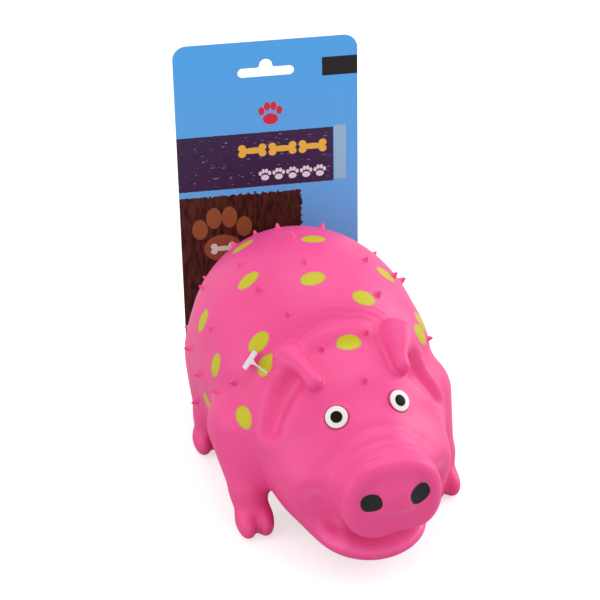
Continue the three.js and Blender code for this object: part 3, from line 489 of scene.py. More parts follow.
def closeDiagonals(values, solidValue=-0.02):
    # samples that touch only across an edge or a corner become solid, so that the surface is one sheet
    shape = np.array(values.shape)
    for attempt in range(20):
        changed = 0
        for u, v in ((0, 1), (1, 2), (0, 2)):
            def part(du, dv):
                pick = [slice(None)] * 3
                pick[u] = slice(du, shape[u] - 1 + du)
                pick[v] = slice(dv, shape[v] - 1 + dv)
                return tuple(pick)
            here, a, b, ab = (values[part(*d)] < 0 for d in ((0, 0), (1, 0), (0, 1), (1, 1)))
            diagonal = (here == ab) & (a == b) & (here != a)
            changed += int(diagonal.sum())
            values[part(1, 0)][diagonal & here] = solidValue
            values[part(0, 0)][diagonal & ~here] = solidValue
        if not changed:
            return


def sheetOf(field, xs, ys, zs, relax=3, blockSize=60000):
    # one closed sheet on the field's zero level: a point in each crossed cell, a face at each crossed edge
    stations = [np.asarray(s, float) for s in (xs, ys, zs)]
    grid = np.stack(np.meshgrid(*stations, indexing="ij"), -1).reshape(-1, 3)
    blocks = np.array_split(grid, max(1, len(grid) // blockSize))
    values = np.concatenate([field(block) for block in blocks])
    values = values.reshape([len(s) for s in stations]).astype(float)
    closeDiagonals(values)
    cells = [len(s) - 1 for s in stations]
    total = np.zeros(cells + [3])
    crossings = np.zeros(cells)
    faces = []
    crossed = []
    for axis in range(3):
        low = np.moveaxis(np.moveaxis(values, axis, 0)[:-1], 0, axis)
        high = np.moveaxis(np.moveaxis(values, axis, 0)[1:], 0, axis)
        change = (low < 0) != (high < 0)
        crossed.append((change, low < 0))
        share = np.where(change, low / np.where(change, low - high, 1), 0)
        shape = [1, 1, 1]
        shape[axis] = -1
        along = stations[axis][:-1].reshape(shape) + share * np.diff(stations[axis]).reshape(shape)
        u, v = [i for i in range(3) if i != axis]
        for du in (0, 1):
            for dv in (0, 1):
                pick = [slice(None)] * 3
                pick[u] = slice(du, cells[u] + du)
                pick[v] = slice(dv, cells[v] + dv)
                mask = change[tuple(pick)]
                crossings += mask
                total[..., axis] += along[tuple(pick)] * mask
                for other, d in ((u, du), (v, dv)):
                    shape = [1, 1, 1]
                    shape[other] = -1
                    total[..., other] += stations[other][d:cells[other] + d].reshape(shape) * mask
    active = crossings > 0
    points = total[active] / crossings[active][:, None]
    number = np.full(cells, -1)
    number[active] = np.arange(len(points))
    rings = {0: ((0, -1, -1), (0, 0, -1), (0, 0, 0), (0, -1, 0)),
             1: ((-1, 0, -1), (-1, 0, 0), (0, 0, 0), (0, 0, -1)),
             2: ((-1, -1, 0), (0, -1, 0), (0, 0, 0), (-1, 0, 0))}
    for axis, (change, lowInside) in enumerate(crossed):
        where = np.argwhere(change)
        inner = np.all([(where[:, i] > 0) & (where[:, i] < cells[i]) | (i == axis) for i in range(3)], 0)
        where = where[inner]
        quads = np.stack([number[tuple((where + offset).T)] for offset in rings[axis]], 1)
        outward = lowInside[tuple(where.T)]
        quads[~outward] = quads[~outward][:, ::-1]
        faces.append(quads)
    faces = np.concatenate(faces)
    points = settled(field, points, rounds=3)
    edges = np.unique(np.sort(np.concatenate([faces[:, [i, (i + 1) % 4]] for i in range(4)]), axis=1), axis=0)
    for turn in range(relax):
        totals = np.zeros_like(points)
        counts = np.zeros(len(points))
        for a, b in ((0, 1), (1, 0)):
            np.add.at(totals, edges[:, a], points[edges[:, b]])
            np.add.at(counts, edges[:, a], 1)
        points = settled(field, points * 0.5 + totals / counts[:, None] * 0.5, rounds=2)
    return points, faces


def settled(field, points, rounds):
    # moves points along the slope onto the field's zero level
    for turn in range(rounds):
        slope = slopeOf(field, points)
        steep = np.maximum((slope * slope).sum(1), 0.05)
        points = points - slope * (field(points) / steep)[:, None]
    return points


def graded(low, high, stepAt):
    stations = [low]
    while stations[-1] < high:
        stations.append(stations[-1] + stepAt(stations[-1]))
    return stations


def softStep(t, low, high):
    t = min(max((t - low) / (high - low), 0), 1)
    return t * t * (3 - 2 * t)


skinGrid = {
    "fine": 1.05, "coarse": 1.75, "fineQuick": 2.0, "coarseQuick": 3.0, "hollow": 4.0,
    "headEndY": -50, "neckEndY": -15, "low": (-70, -116, -3), "high": (70, 115, 133),
    "centreX": 34, "sideX": 46,
}


def skinStations(grid):
    fine = grid["fine"]
    coarse = grid["coarse"]
    middle = (fine + coarse) / 2
    halfX = graded(fine / 2, grid["high"][0],
                   lambda x: fine + (middle - fine) * softStep(x, grid["centreX"], grid["sideX"]))
    xs = [-x for x in reversed(halfX)] + halfX
    ys = graded(grid["low"][1], grid["high"][1],
                lambda y: fine + (coarse - fine) * softStep(y, grid["headEndY"], grid["neckEndY"]))
    zs = graded(grid["low"][2], grid["high"][2], lambda z: middle)
    return xs, ys, zs


def evenStations(grid):
    return [np.arange(low - grid["hollow"], high + grid["hollow"], grid["hollow"])
            for low, high in zip(grid["low"], grid["high"])]


def booleanCut(piece, cutterMesh):
    cutter = bpy.data.objects.new("cutter", cutterMesh)
    bpy.context.scene.collection.objects.link(cutter)
    modifier = piece.modifiers.new("cut", "BOOLEAN")
    modifier.operation, modifier.solver, modifier.object = "DIFFERENCE", "MANIFOLD", cutter
    evaluated = piece.evaluated_get(bpy.context.evaluated_depsgraph_get())
    mesh = bpy.data.meshes.new_from_object(evaluated)
    piece.modifiers.remove(modifier)
    bpy.data.objects.remove(cutter)
    piece.data = mesh


def tubeMesh(name, path, radii, sides):
    # a round tube along a path, closed by a point at each end
    path = np.asarray(path, float)
    tangents = np.gradient(path, axis=0)
    tangents /= np.linalg.norm(tangents, axis=1)[:, None]
    side = np.cross(tangents[0], (0.3, 0.5, 0.81))
    side /= np.linalg.norm(side)
    points, faces = [path[0]], []
    for centre, tangent, radius in zip(path, tangents, radii):
        side = side - tangent * (side @ tangent)
        side /= np.linalg.norm(side)
        other = np.cross(tangent, side)
        for n in range(sides):
            angle = 2 * math.pi * n / sides
            points.append(centre + radius * (math.cos(angle) * side + math.sin(angle) * other))
    points.append(path[-1])
    for n in range(sides):
        nextN = (n + 1) % sides
        faces.append((0, 1 + nextN, 1 + n))
        for row in range(len(path) - 1):
            a, b = 1 + row * sides, 1 + (row + 1) * sides
            faces.append((a + n, a + nextN, b + nextN, b + n))
        last = 1 + (len(path) - 1) * sides
        faces.append((last + n, last + nextN, len(points) - 1))
    return newMesh(name, points, faces)


def lathe(name, profile, sides, centre, axis):
    # a profile of (radius, height) turned about an axis through a point; it starts and ends on the axis
    axis = np.asarray(axis, float) / np.linalg.norm(axis)
    side = np.cross(axis, (0.2, 0.9, 0.1) if abs(axis[1]) < 0.8 else (1, 0, 0.1))
    side /= np.linalg.norm(side)
    other = np.cross(axis, side)
    centre = np.asarray(centre, float)
    points, faces, rows = [], [], []
    for radius, height in profile:
        if radius == 0:
            rows.append([len(points)] * sides)
            points.append(centre + axis * height)
            continue
        rows.append(list(range(len(points), len(points) + sides)))
        for n in range(sides):
            angle = 2 * math.pi * n / sides
            outward = math.cos(angle) * side + math.sin(angle) * other
            points.append(centre + axis * height + radius * outward)
    for low, high in zip(rows, rows[1:]):
        for n in range(sides):
            m = (n + 1) % sides
            ring = [low[n], low[m], high[m], high[n]]
            faces.append([v for i, v in enumerate(ring) if v not in ring[:i]])
    return newMesh(name, points, faces)


def makeSkin():
    points, faces = sheetOf(outsideField, *skinStations(skinGrid))
    skin = bpy.data.objects.new("latexSkin", newMesh("latexSkin", toFrame(points), faces))
    bpy.context.scene.collection.objects.link(skin)
    inner, innerFaces = sheetOf(hollowField, *evenStations(skinGrid), relax=1)
    booleanCut(skin, newMesh("hollow", toFrame(inner), innerFaces))
    hole = pigSkin["bellyHole"]
    radius, top = hole["radius"] * mm, hole["top"] * mm
    profile = [(0, 0), (radius, 0), (radius, top), (0, top)]
    booleanCut(skin, lathe("bellyHole", profile, hole["sides"], toFrame((0, barrelY, 0)), (0, 0, 1)))
    skin.data.polygons.foreach_set("use_smooth", [True] * len(skin.data.polygons))
    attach(skin, "toy")
    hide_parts("latex_skin")
    return skin


latexSkin = makeSkin()
print("latex skin:", len(latexSkin.data.polygons), "faces")


# Paint on the skin: each field is the distance to the edge of the painted places, in millimetres
paint = {
    "spotLong": 6.6, "spotShort": 4.4, "spotDeep": 13.2,  # half sizes: round, along and into the toy
    "seenSpots": [  # station along the toy, turn from the ridge and the spot's own turn, in degrees
        (61, -25, 0), (37, 6, 0), (23, -32, 0), (2, -5, 0), (-12, 19, 0), (14, 39, 0), (35, -63, 0),
        (5, -73, 0), (-12, -47, 0), (-33, 3, 0), (-28, -86, 72),
    ],
    "earSpots": [(-39.2, -21.5, 91.0), (50.7, -13.1, 87.3), (54.4, -3.6, 89.3)],
    "farSpots": [  # station and turn
        (40, 66), (66, 40), (70, 78), (14, 74), (92, 22), (93, -38), (100, -8), (97, 62), (88, -78),
        (44, 96), (80, 108), (58, -104), (20, -103), (-14, 98), (92, -112),
    ],
    "mouthDepth": 2.5, "snoutClear": 5, "snoutSteep": 2,
    "reach": 20,  # distances are kept up to this
}


def paintSkin(skin):
    points = np.empty(len(skin.data.vertices) * 3)
    skin.data.vertices.foreach_get("co", points)
    points = points.reshape(-1, 3) / mm - toyShift
    stations, turns, spins = zip(*paint["seenSpots"], *[(*place, 0) for place in paint["farSpots"]])
    spots, normals = placesOn(stations, turns)
    onEars, earNormals = surfaceFrom(paint["earSpots"], np.zeros((len(paint["earSpots"]), 3)))
    spots, normals = np.concatenate([spots, onEars]), np.concatenate([normals, earNormals])
    gap = np.full(len(points), float(paint["reach"]))
    for spot, normal, spin in zip(spots, normals, [*spins] + [0] * len(onEars)):
        girth = np.cross(normal, (0, 1, 0))
        girth /= np.linalg.norm(girth)
        along = np.cross(normal, girth)
        c, s = math.cos(math.radians(spin)), math.sin(math.radians(spin))
        away = points - spot
        level = np.sqrt((away @ (girth * c + along * s) / paint["spotLong"]) ** 2
                        + (away @ (along * c - girth * s) / paint["spotShort"]) ** 2
                        + (away @ normal / paint["spotDeep"]) ** 2)
        gap = np.minimum(gap, (level - 1) * paint["spotShort"])
    p = points.astype(np.float32)
    offSnout = paint["snoutClear"] - paint["snoutSteep"] * snoutField(p)
    fields = {
        "spotEdge": gap,
        "nostrilEdge": nostrilField(p),
        "mouthEdge": np.maximum(mouthField(p) - paint["mouthDepth"], offSnout),
        "eyeEdge": eyeGap(p),
        "rippleShare": rippleShare(p),
    }
    for name, values in fields.items():
        attribute = skin.data.attributes.new(name, "FLOAT", "POINT")
        kept = np.clip(values, -paint["reach"], paint["reach"])
        attribute.data.foreach_set("value", kept.astype(np.float32))


def eyeGap(p):
    # distance in the face of the nearer eye disc to its edge
    e = pigSkin["eye"]
    nearest = np.full(len(p), paint["reach"], np.float32)
    for point, facing in eyePlaces.values():
        high, wide = fromDisc(p, point, facing)
        nearest = np.minimum(nearest, np.where(np.abs(high) < e["reach"], wide - e["radius"], paint["reach"]))
    return nearest


def unpainted(mesh):
    # latex away from all paint
    for name in ("spotEdge", "nostrilEdge", "mouthEdge", "eyeEdge"):
        attribute = mesh.attributes.new(name, "FLOAT", "POINT")
        attribute.data.foreach_set("value", np.full(len(mesh.vertices), paint["reach"], np.float32))


# Natural rubber latex, dipped, cured and dusted: an even hot pink that is satin outside, with soft wide
# highlights, and wet-looking inside the lip, where the mould was polished. The mouth's pink is painted
# lighter, as painted light against the shade inside the mouth.
latex = {
    # the mouth's pink below is painted light: lighter, to stand in for light inside the shaded mouth
    "pink": "#F45095", "deepPink": "#EC488C", "mouthPinkPaintedLighter": "#FF6FB5", "lime": "#C6BC05",
    # the dark ring colour round each eye is painted shade: it stands for the shadow in the eye's groove
    "limeRim": "#A9B52A", "nostrilBlack": "#070607", "eyeGroovePaintedShade": "#A82A5E",
    "roughness": 0.42, "mouthRoughness": 0.26, "ior": 1.52, "specular": 0.34,
    "mottleSize": 18, "grainSize": 0.9, "grainBump": (0.15, 0.05),  # strength and depth
    # softness and offset of each painted edge
    "mouthSoft": 4, "limeRimEdge": (0.18, 0.25), "limeEdge": (0.25, -0.3),
    "eyeGroovePaintedShadeEdge": (0.25, 0.75), "nostrilBlackEdge": (0.2, 0),
}


def inside(tree, gap, softness, offset=0.0):
    # 1 inside the painted place, falling to 0 across its edge
    mask = addNode(tree, "ShaderNodeMapRange", {"interpolation_type": "SMOOTHSTEP"}, {
        0: gap, 1: offset - softness, 2: offset + softness, 3: 1.0, 4: 0.0})
    return mask.outputs[0]


def edgeMask(tree, field, softness, offset=0.0):
    attribute = addNode(tree, "ShaderNodeAttribute", {"attribute_name": field})
    return inside(tree, attribute.outputs["Fac"], softness, offset)


def layered(tree, colour, *coats):
    # lays coats over a colour one after another, each through its own mask
    for mask, coat in coats:
        mix = addNode(tree, "ShaderNodeMix", {"data_type": "RGBA"}, {0: mask, 6: colour, 7: coat})
        colour = mix.outputs[2]
    return colour


def rippleHeight(tree, place):
    # fine bowed creases across the neck, in the frame's metres
    ripples = pigSkin["neckRipples"]
    here = addNode(tree, "ShaderNodeSeparateXYZ", None, {0: place})
    square = addNode(tree, "ShaderNodeMath", {"operation": "POWER"}, {0: here.outputs[0], 1: 2.0})
    station = addNode(tree, "ShaderNodeMath", {"operation": "MULTIPLY_ADD"}, {
        0: square.outputs[0], 1: ripples["bow"] / mm, 2: here.outputs[1]})
    wander = addNode(tree, "ShaderNodeTexNoise", None, {
        "Vector": place, "Scale": 1 / (ripples["wanderSize"] * mm), "Detail": 1.0})
    drawn = addNode(tree, "ShaderNodeMath", {"operation": "MULTIPLY_ADD"}, {
        0: wander.outputs[0], 1: ripples["wander"] * mm, 2: station.outputs[0]})
    phase = addNode(tree, "ShaderNodeMath", {"operation": "MULTIPLY"}, {
        0: drawn.outputs[0], 1: 2 * math.pi / (ripples["gap"] * mm)})
    wave = addNode(tree, "ShaderNodeMath", {"operation": "SINE"}, {0: phase.outputs[0]})
    share = addNode(tree, "ShaderNodeAttribute", {"attribute_name": "rippleShare"})
    height = addNode(tree, "ShaderNodeMath", {"operation": "MULTIPLY"}, {
        0: wave.outputs[0], 1: share.outputs["Fac"]})
    return height.outputs[0]


def latexMaterial():
    material, tree, shader = newMaterial("dippedLatexPink")
    place = addNode(tree, "ShaderNodeTexCoord").outputs["Object"]
    mottle = addNode(tree, "ShaderNodeTexNoise", None, {
        "Vector": place, "Scale": 1 / (latex["mottleSize"] * mm), "Detail": 2.0})
    mouth = edgeMask(tree, "mouthEdge", latex["mouthSoft"])
    # the mouth's lighter pink is painted light against the shade inside it
    coats = [(mottle.outputs[0], linear(latex["deepPink"])), (mouth, linear(latex["mouthPinkPaintedLighter"]))]
    # the ring round each eye is painted shade for the shadow in its groove
    for field, coat in (("spotEdge", "limeRim"), ("spotEdge", "lime"),
                        ("eyeEdge", "eyeGroovePaintedShade"), ("nostrilEdge", "nostrilBlack")):
        coats.append((edgeMask(tree, field, *latex[coat + "Edge"]), linear(latex[coat])))
    tree.links.new(layered(tree, linear(latex["pink"]), *coats), shader.inputs["Base Color"])
    rough = addNode(tree, "ShaderNodeMapRange", None, {
        0: mouth, 3: latex["roughness"], 4: latex["mouthRoughness"]})
    tree.links.new(rough.outputs[0], shader.inputs["Roughness"])
    shader.inputs["IOR"].default_value = latex["ior"]
    shader.inputs["Specular IOR Level"].default_value = latex["specular"]
    grain = addNode(tree, "ShaderNodeTexNoise", None, {
        "Vector": place, "Scale": 1 / (latex["grainSize"] * mm), "Detail": 3.0})
    strength, depth = latex["grainBump"]
    bump = addNode(tree, "ShaderNodeBump", None, {
        "Strength": strength, "Distance": depth * mm, "Height": grain.outputs[0]})
    bent = addNode(tree, "ShaderNodeBump", None, {
        "Strength": 1.0, "Distance": pigSkin["neckRipples"]["depth"] * mm,
        "Height": rippleHeight(tree, place), "Normal": bump.outputs[0]})
    tree.links.new(bent.outputs[0], shader.inputs["Normal"])
    return material


latexPink = latexMaterial()
paintSkin(latexSkin)
latexSkin.data.materials.clear()
latexSkin.data.materials.append(latexPink)
print("latex skin painted")

# Nubs: pointed studs of the mould, each on its share of the trunk's length and its turn from the ridge
nubs = {
    "radius": 1.9, "height": 3.7, "sunk": 0.3, "sides": 18, "rings": 12, "seed": 7,
    "frontY": -48, "trunkLength": 160,
    "profile": [  # share of the height, and width there
        (0, 1.0), (0.1, 0.76), (0.25, 0.6), (0.5, 0.43), (0.72, 0.31), (0.88, 0.2), (0.97, 0.1), (1, 0),
    ],
    "flare": 1.5, "sizes": (0.88, 1.14), "mergeGap": 0.01,
    "places": [
        (-0.05, 4), (0.1, -18), (0.12, 17), (0.39, -5), (0.57, -3), (0.73, -3), (0.85, -12), (0.9, 22),
        (0.23, -25), (0.37, -30), (0.54, -31), (0.83, -28), (0.25, 28), (0.41, 27), (0.75, 24), (0.41, 45),
        (0.88, 40), (0.66, -54), (0.66, 52), (0.85, -58), (0.44, -61), (0.49, 58), (0.25, 72), (0.225, -73),
        (0.8, 76), (0.76, -86), (0.58, -83), (0.61, 80), (0.29, -84), (0.3, 97), (0.46, -88), (0.46, 90),
        (0.56, -112), (0.56, 112), (0.8, -108), (0.8, 108),
    ],
}


def nubTree(settings):
    tree = bpy.data.node_groups.new("nubTree", "GeometryNodeTree")
    face = tree.interface
    face.new_socket("Places", in_out="INPUT", socket_type="NodeSocketGeometry")
    for name, value in (("Radius", settings["radius"] * mm), ("Height", settings["height"] * mm),
                        ("Sunk", settings["sunk"] * mm)):
        socket = face.new_socket(name, in_out="INPUT", socket_type="NodeSocketFloat")
        socket.default_value = value
    face.new_socket("Latex", in_out="INPUT", socket_type="NodeSocketMaterial")
    face.new_socket("Nubs", in_out="OUTPUT", socket_type="NodeSocketGeometry")
    given = addNode(tree, "NodeGroupInput").outputs
    column = addNode(tree, "GeometryNodeMeshCylinder", {"fill_type": "NGON"}, {
        "Vertices": settings["sides"], "Side Segments": settings["rings"], "Radius": 1.0, "Depth": 1.0})
    position = addNode(tree, "GeometryNodeInputPosition")
    here = addNode(tree, "ShaderNodeSeparateXYZ", None, {0: position.outputs[0]})
    share = addNode(tree, "ShaderNodeMath", {"operation": "ADD"}, {0: here.outputs[2], 1: 0.5})
    outline = addNode(tree, "ShaderNodeFloatCurve", None, {"Value": share.outputs[0]})
    curve = outline.mapping.curves[0]
    for n, (height, width) in enumerate(settings["profile"]):
        if n < 2:
            curve.points[n].location = (height, width)
        else:
            curve.points.new(height, width)
    outline.mapping.update()
    flare = addNode(tree, "ShaderNodeMath", {"operation": "MULTIPLY"}, {
        0: outline.outputs[0], 1: settings["flare"]})
    wide = addNode(tree, "ShaderNodeMath", {"operation": "MULTIPLY"}, {
        0: flare.outputs[0], 1: given["Radius"]})
    high = addNode(tree, "ShaderNodeMath", {"operation": "MULTIPLY"}, {
        0: share.outputs[0], 1: given["Height"]})
    lifted = addNode(tree, "ShaderNodeMath", {"operation": "SUBTRACT"}, {
        0: high.outputs[0], 1: given["Sunk"]})
    across, along = (addNode(tree, "ShaderNodeMath", {"operation": "MULTIPLY"}, {
        0: side, 1: wide.outputs[0]}).outputs[0] for side in here.outputs[:2])
    spot = addNode(tree, "ShaderNodeCombineXYZ", None, {0: across, 1: along, 2: lifted.outputs[0]})
    shaped = addNode(tree, "GeometryNodeSetPosition", None, {
        "Geometry": column.outputs[0], "Position": spot.outputs[0]})
    merged = addNode(tree, "GeometryNodeMergeByDistance", None, {
        "Geometry": shaped.outputs[0], "Distance": settings["mergeGap"] * mm})
    outward = addNode(tree, "GeometryNodeInputNamedAttribute", {"data_type": "FLOAT_VECTOR"}, {
        "Name": "outward"})
    turned = addNode(tree, "FunctionNodeAlignRotationToVector", {"axis": "Z"}, {
        "Vector": outward.outputs[0]})
    least, most = settings["sizes"]
    size = addNode(tree, "FunctionNodeRandomValue", {"data_type": "FLOAT"}, {
        2: least, 3: most, "Seed": settings["seed"]})
    placed = addNode(tree, "GeometryNodeInstanceOnPoints", None, {
        "Points": given["Places"], "Instance": merged.outputs[0],
        "Rotation": turned.outputs[0], "Scale": size.outputs[1]})
    real = addNode(tree, "GeometryNodeRealizeInstances", None, {0: placed.outputs[0]})
    smooth = addNode(tree, "GeometryNodeSetShadeSmooth", None, {"Geometry": real.outputs[0]})
    coated = addNode(tree, "GeometryNodeSetMaterial", None, {
        "Geometry": smooth.outputs[0], "Material": given["Latex"]})
    addNode(tree, "NodeGroupOutput", None, {0: coated.outputs[0]})
    return tree


def treeMesh(name, places, outward, tree, inputs):
    # runs a tree on a set of places and gives its plain mesh
    mesh = bpy.data.meshes.new(name)
    mesh.from_pydata([tuple(p) for p in places], [], [])
    attribute = mesh.attributes.new("outward", "FLOAT_VECTOR", "POINT")
    attribute.data.foreach_set("vector", np.asarray(outward, np.float32).ravel())
    holder = bpy.data.objects.new(name, mesh)
    bpy.context.scene.collection.objects.link(holder)
    modifier = holder.modifiers.new("tree", "NODES")
    modifier.node_group = tree
    sockets = {item.name: item.identifier for item in tree.interface.items_tree if item.in_out == "INPUT"}
    for key, value in inputs.items():
        modifier[sockets[key]] = value
    made = bpy.data.meshes.new_from_object(holder.evaluated_get(bpy.context.evaluated_depsgraph_get()))
    made.name = name
    bpy.data.objects.remove(holder)
    return made


def makeNubs():
    stations = [nubs["frontY"] + share * nubs["trunkLength"] for share, turn in nubs["places"]]
    points, normals = placesOn(stations, [turn for share, turn in nubs["places"]])
    mesh = treeMesh("skinNubs", toFrame(points), normals, nubTree(nubs), {
        "Radius": nubs["radius"] * mm, "Height": nubs["height"] * mm, "Sunk": nubs["sunk"] * mm,
        "Latex": latexPink})
    unpainted(mesh)
    piece = newPiece("skinNubs", mesh, "toy")
    return piece


skinNubs = makeNubs()
print("nubs:", len(nubs["places"]), "with", len(skinNubs.data.polygons), "faces")

# Curled tail, moulded in one with the skin, tapering to its tip
tail = {"z": 97, "curlRadius": 5, "rootRadius": 2.7, "tipRadius": 1.5, "rise": 3.2, "sunk": 1.2, "turns": 1.1,
        "tipFrom": 0.94, "tipShare": 0.06, "tipFlat": 0.05, "steps": 48, "sides": 16}


def makeTail(settings):
    root, normal = surfaceFrom([(0, pigSkin["trunk"]["centre"][1], settings["z"])], np.array([(0, 1.0, 0)]))
    across = np.array((1.0, 0, 0))
    upward = np.cross(normal[0], across)
    path, radii = [], []
    for n in range(settings["steps"] + 1):
        share = n / settings["steps"]
        turn = share * settings["turns"] * 2 * math.pi
        lift = settings["rise"] * math.sin(share * math.pi / 2) - settings["sunk"] * (1 - share)
        path.append(root[0] + normal[0] * lift + across * settings["curlRadius"] * math.sin(turn)
                    + upward * settings["curlRadius"] * (1 - math.cos(turn)))
        past = max(0, (share - settings["tipFrom"]) / settings["tipShare"])
        end = math.sqrt(max(settings["tipFlat"], 1 - past ** 2))
        radius = settings["rootRadius"] + (settings["tipRadius"] - settings["rootRadius"]) * share
        radii.append(radius * end * mm)
    mesh = tubeMesh("curledTail", toFrame(path), radii, settings["sides"])
    unpainted(mesh)
    piece = newPiece("curledTail", mesh, "toy", latexPink)


makeTail(tail)
print("tail made")

# Eyes: raised discs of the mould, painted white with a black pupil
eyes = {
    "sides": 64, "pupil": 3.15, "paintedFrom": 0.7,  # the disc is painted from this height up
    "profile": [(0, -3), (5.9, -3), (5.9, 0.3), (5.78, 0.62), (5.55, 0.8), (5.35, 0.87), (4.4, 0.97),
                (3.15, 1.03), (3.1, 1.1), (2.2, 1.17), (1.1, 1.2), (0, 1.21)],
    "whiteColour": "#F7F3EE", "blackColour": "#0C0B0D", "whiteGloss": (0.3, 0.4), "blackGloss": (0.3, 0.12),
    "streakSize": 1.4, "streakShade": 0.9, "streakBump": (0.1, 0.03),
}


def paintMaterial(name, colour, gloss):
    # brushed-on toy enamel: a thin even film, a little glossier than the latex under it
    material, tree, shader = newMaterial(name)
    place = addNode(tree, "ShaderNodeTexCoord").outputs["Object"]
    streak = addNode(tree, "ShaderNodeTexNoise", None, {
        "Vector": place, "Scale": 1 / (eyes["streakSize"] * mm), "Detail": 2.0})
    darker = tuple(c * eyes["streakShade"] for c in linear(colour)[:3]) + (1.0,)
    tree.links.new(layered(tree, linear(colour), (streak.outputs[0], darker)), shader.inputs["Base Color"])
    shader.inputs["Roughness"].default_value, shader.inputs["Specular IOR Level"].default_value = gloss
    strength, depth = eyes["streakBump"]
    bump = addNode(tree, "ShaderNodeBump", None, {
        "Strength": strength, "Distance": depth * mm, "Height": streak.outputs[0]})
    tree.links.new(bump.outputs[0], shader.inputs["Normal"])
    return material


def makeEyes(settings):
    white = paintMaterial("enamelPaintWhite", settings["whiteColour"], settings["whiteGloss"])
    black = paintMaterial("enamelPaintBlack", settings["blackColour"], settings["blackGloss"])
    for sign, name in ((-1, "eyeRight"), (1, "eyeLeft")):
        point, normal = eyePlaces[sign]
        profile = [(radius * mm, height * mm) for radius, height in settings["profile"]]
        mesh = lathe(name, profile, settings["sides"], toFrame(point), normal)
        unpainted(mesh)
        piece = newPiece(name, mesh, "toy", latexPink)
        mesh.materials.append(white)
        mesh.materials.append(black)
        centre = Vector(toFrame(point))
        for face in mesh.polygons:
            away = face.center - centre
            high = away.dot(Vector(normal))
            wide = math.sqrt(max(away.length_squared - high * high, 0)) / mm
            if high > settings["paintedFrom"] * mm:
                face.material_index = 2 if wide < settings["pupil"] else 1


makeEyes(eyes)
print("eyes made")

# The card's own directions, and the flank pin's hole, from the same places as on the frame
card = {"turn": -9.5, "thickness": 0.6, "pinsApart": 44, "pinZ": 64}
cardAlong = np.array([math.cos(math.radians(card["turn"])), math.sin(math.radians(card["turn"])), 0])
cardAway = np.array([-cardAlong[1], cardAlong[0], 0])
cardFront = (middleOf("hang_card") - toyShift) * (1, 1, 0) - cardAway * card["thickness"] / 2
tagPlace = {"station": -25.5, "degrees": -56.5}
tagHole = placesOn([tagPlace["station"]], [tagPlace["degrees"]])[0][0]
tagNormal = slopeOf(trunkAndHead, tagHole[None])[0]
tagNormal /= np.linalg.norm(tagNormal)

# Fibre filling: loose polyester, drawn in from the skin's inside, lumpy, with room for the sounder
filling = {
    "gap": 1.3, "lump": 1.1, "lumpSize": 9.0, "cell": 3.0, "cellQuick": 5.0,
    "barrel": {"radius": 13.2, "top": 62},
    "pinRoom": 6.2, "cardPinDeep": 9.2, "flankPinDeep": 11.5, "coreDepth": 40,
    "swirl": (1.3, 2, 1.1, 1.7, 0.9),  # how fast the lumps turn, across and along
    "white": "#F1EFEA", "shade": "#D9D6CE", "strandSize": 1.6, "strandBump": (0.8, 0.6),
}


def findPinRooms():
    # from each pin's hole in the skin to past its inner bar
    rooms = [(tagHole, tagHole - tagNormal * filling["flankPinDeep"])]
    starts = [cardFront + cardAlong * sign * card["pinsApart"] / 2 - cardAway * filling["coreDepth"]
              for sign in (-1, 1)]
    starts = [start * (1, 1, 0) + (0, 0, card["pinZ"]) for start in starts]
    holes, _ = surfaceFrom(starts, np.array([cardAway] * 2))
    return rooms + [(hole, hole - cardAway * filling["cardPinDeep"]) for hole in holes]


pinRooms = findPinRooms()


def fillingField(p):
    p = p.astype(np.float32)
    q = p / filling["lumpSize"]
    a, b, c, d, e = filling["swirl"]
    lumps = np.sin(q[:, 0] * a + b * np.sin(q[:, 1])) * np.sin(q[:, 1] * c + d * np.sin(q[:, 2] * e))
    form = hollowField(p) + filling["gap"] + filling["lump"] * (0.5 + 0.5 * lumps)
    hole = filling["barrel"]
    wide = np.hypot(p[:, 0], p[:, 1] - barrelY) - hole["radius"]
    form = np.maximum(form, -np.maximum(wide, p[:, 2] - hole["top"]))
    for outer, inner in pinRooms:
        form = np.maximum(form, -capsule(p, outer, inner, filling["pinRoom"]))
    return form


def makeFilling():
    cell = filling["cell"]
    stations = [np.arange(low, high + cell, cell) for low, high in zip(skinGrid["low"], skinGrid["high"])]
    points, faces = sheetOf(fillingField, *stations, relax=2)
    material, tree, shader = newMaterial("polyesterFibreWhite")
    # carded polyester staple: matt white, with fine crossing strands that catch the light
    place = addNode(tree, "ShaderNodeTexCoord").outputs["Object"]
    strands = addNode(tree, "ShaderNodeTexNoise", None, {
        "Vector": place, "Scale": 1 / (filling["strandSize"] * mm), "Detail": 5.0, "Distortion": 2.5})
    colour = layered(tree, linear(filling["shade"]), (strands.outputs[0], linear(filling["white"])))
    tree.links.new(colour, shader.inputs["Base Color"])
    shader.inputs["Roughness"].default_value = 0.95
    shader.inputs["Sheen Weight"].default_value = 0.5
    strength, depth = filling["strandBump"]
    bump = addNode(tree, "ShaderNodeBump", None, {
        "Strength": strength, "Distance": depth * mm, "Height": strands.outputs[0]})
    tree.links.new(bump.outputs[0], shader.inputs["Normal"])
    piece = newPiece("fibreFilling", newMesh("fibreFilling", toFrame(points), faces), "toy", material)
    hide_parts("fibre_filling")


makeFilling()
print("filling made")

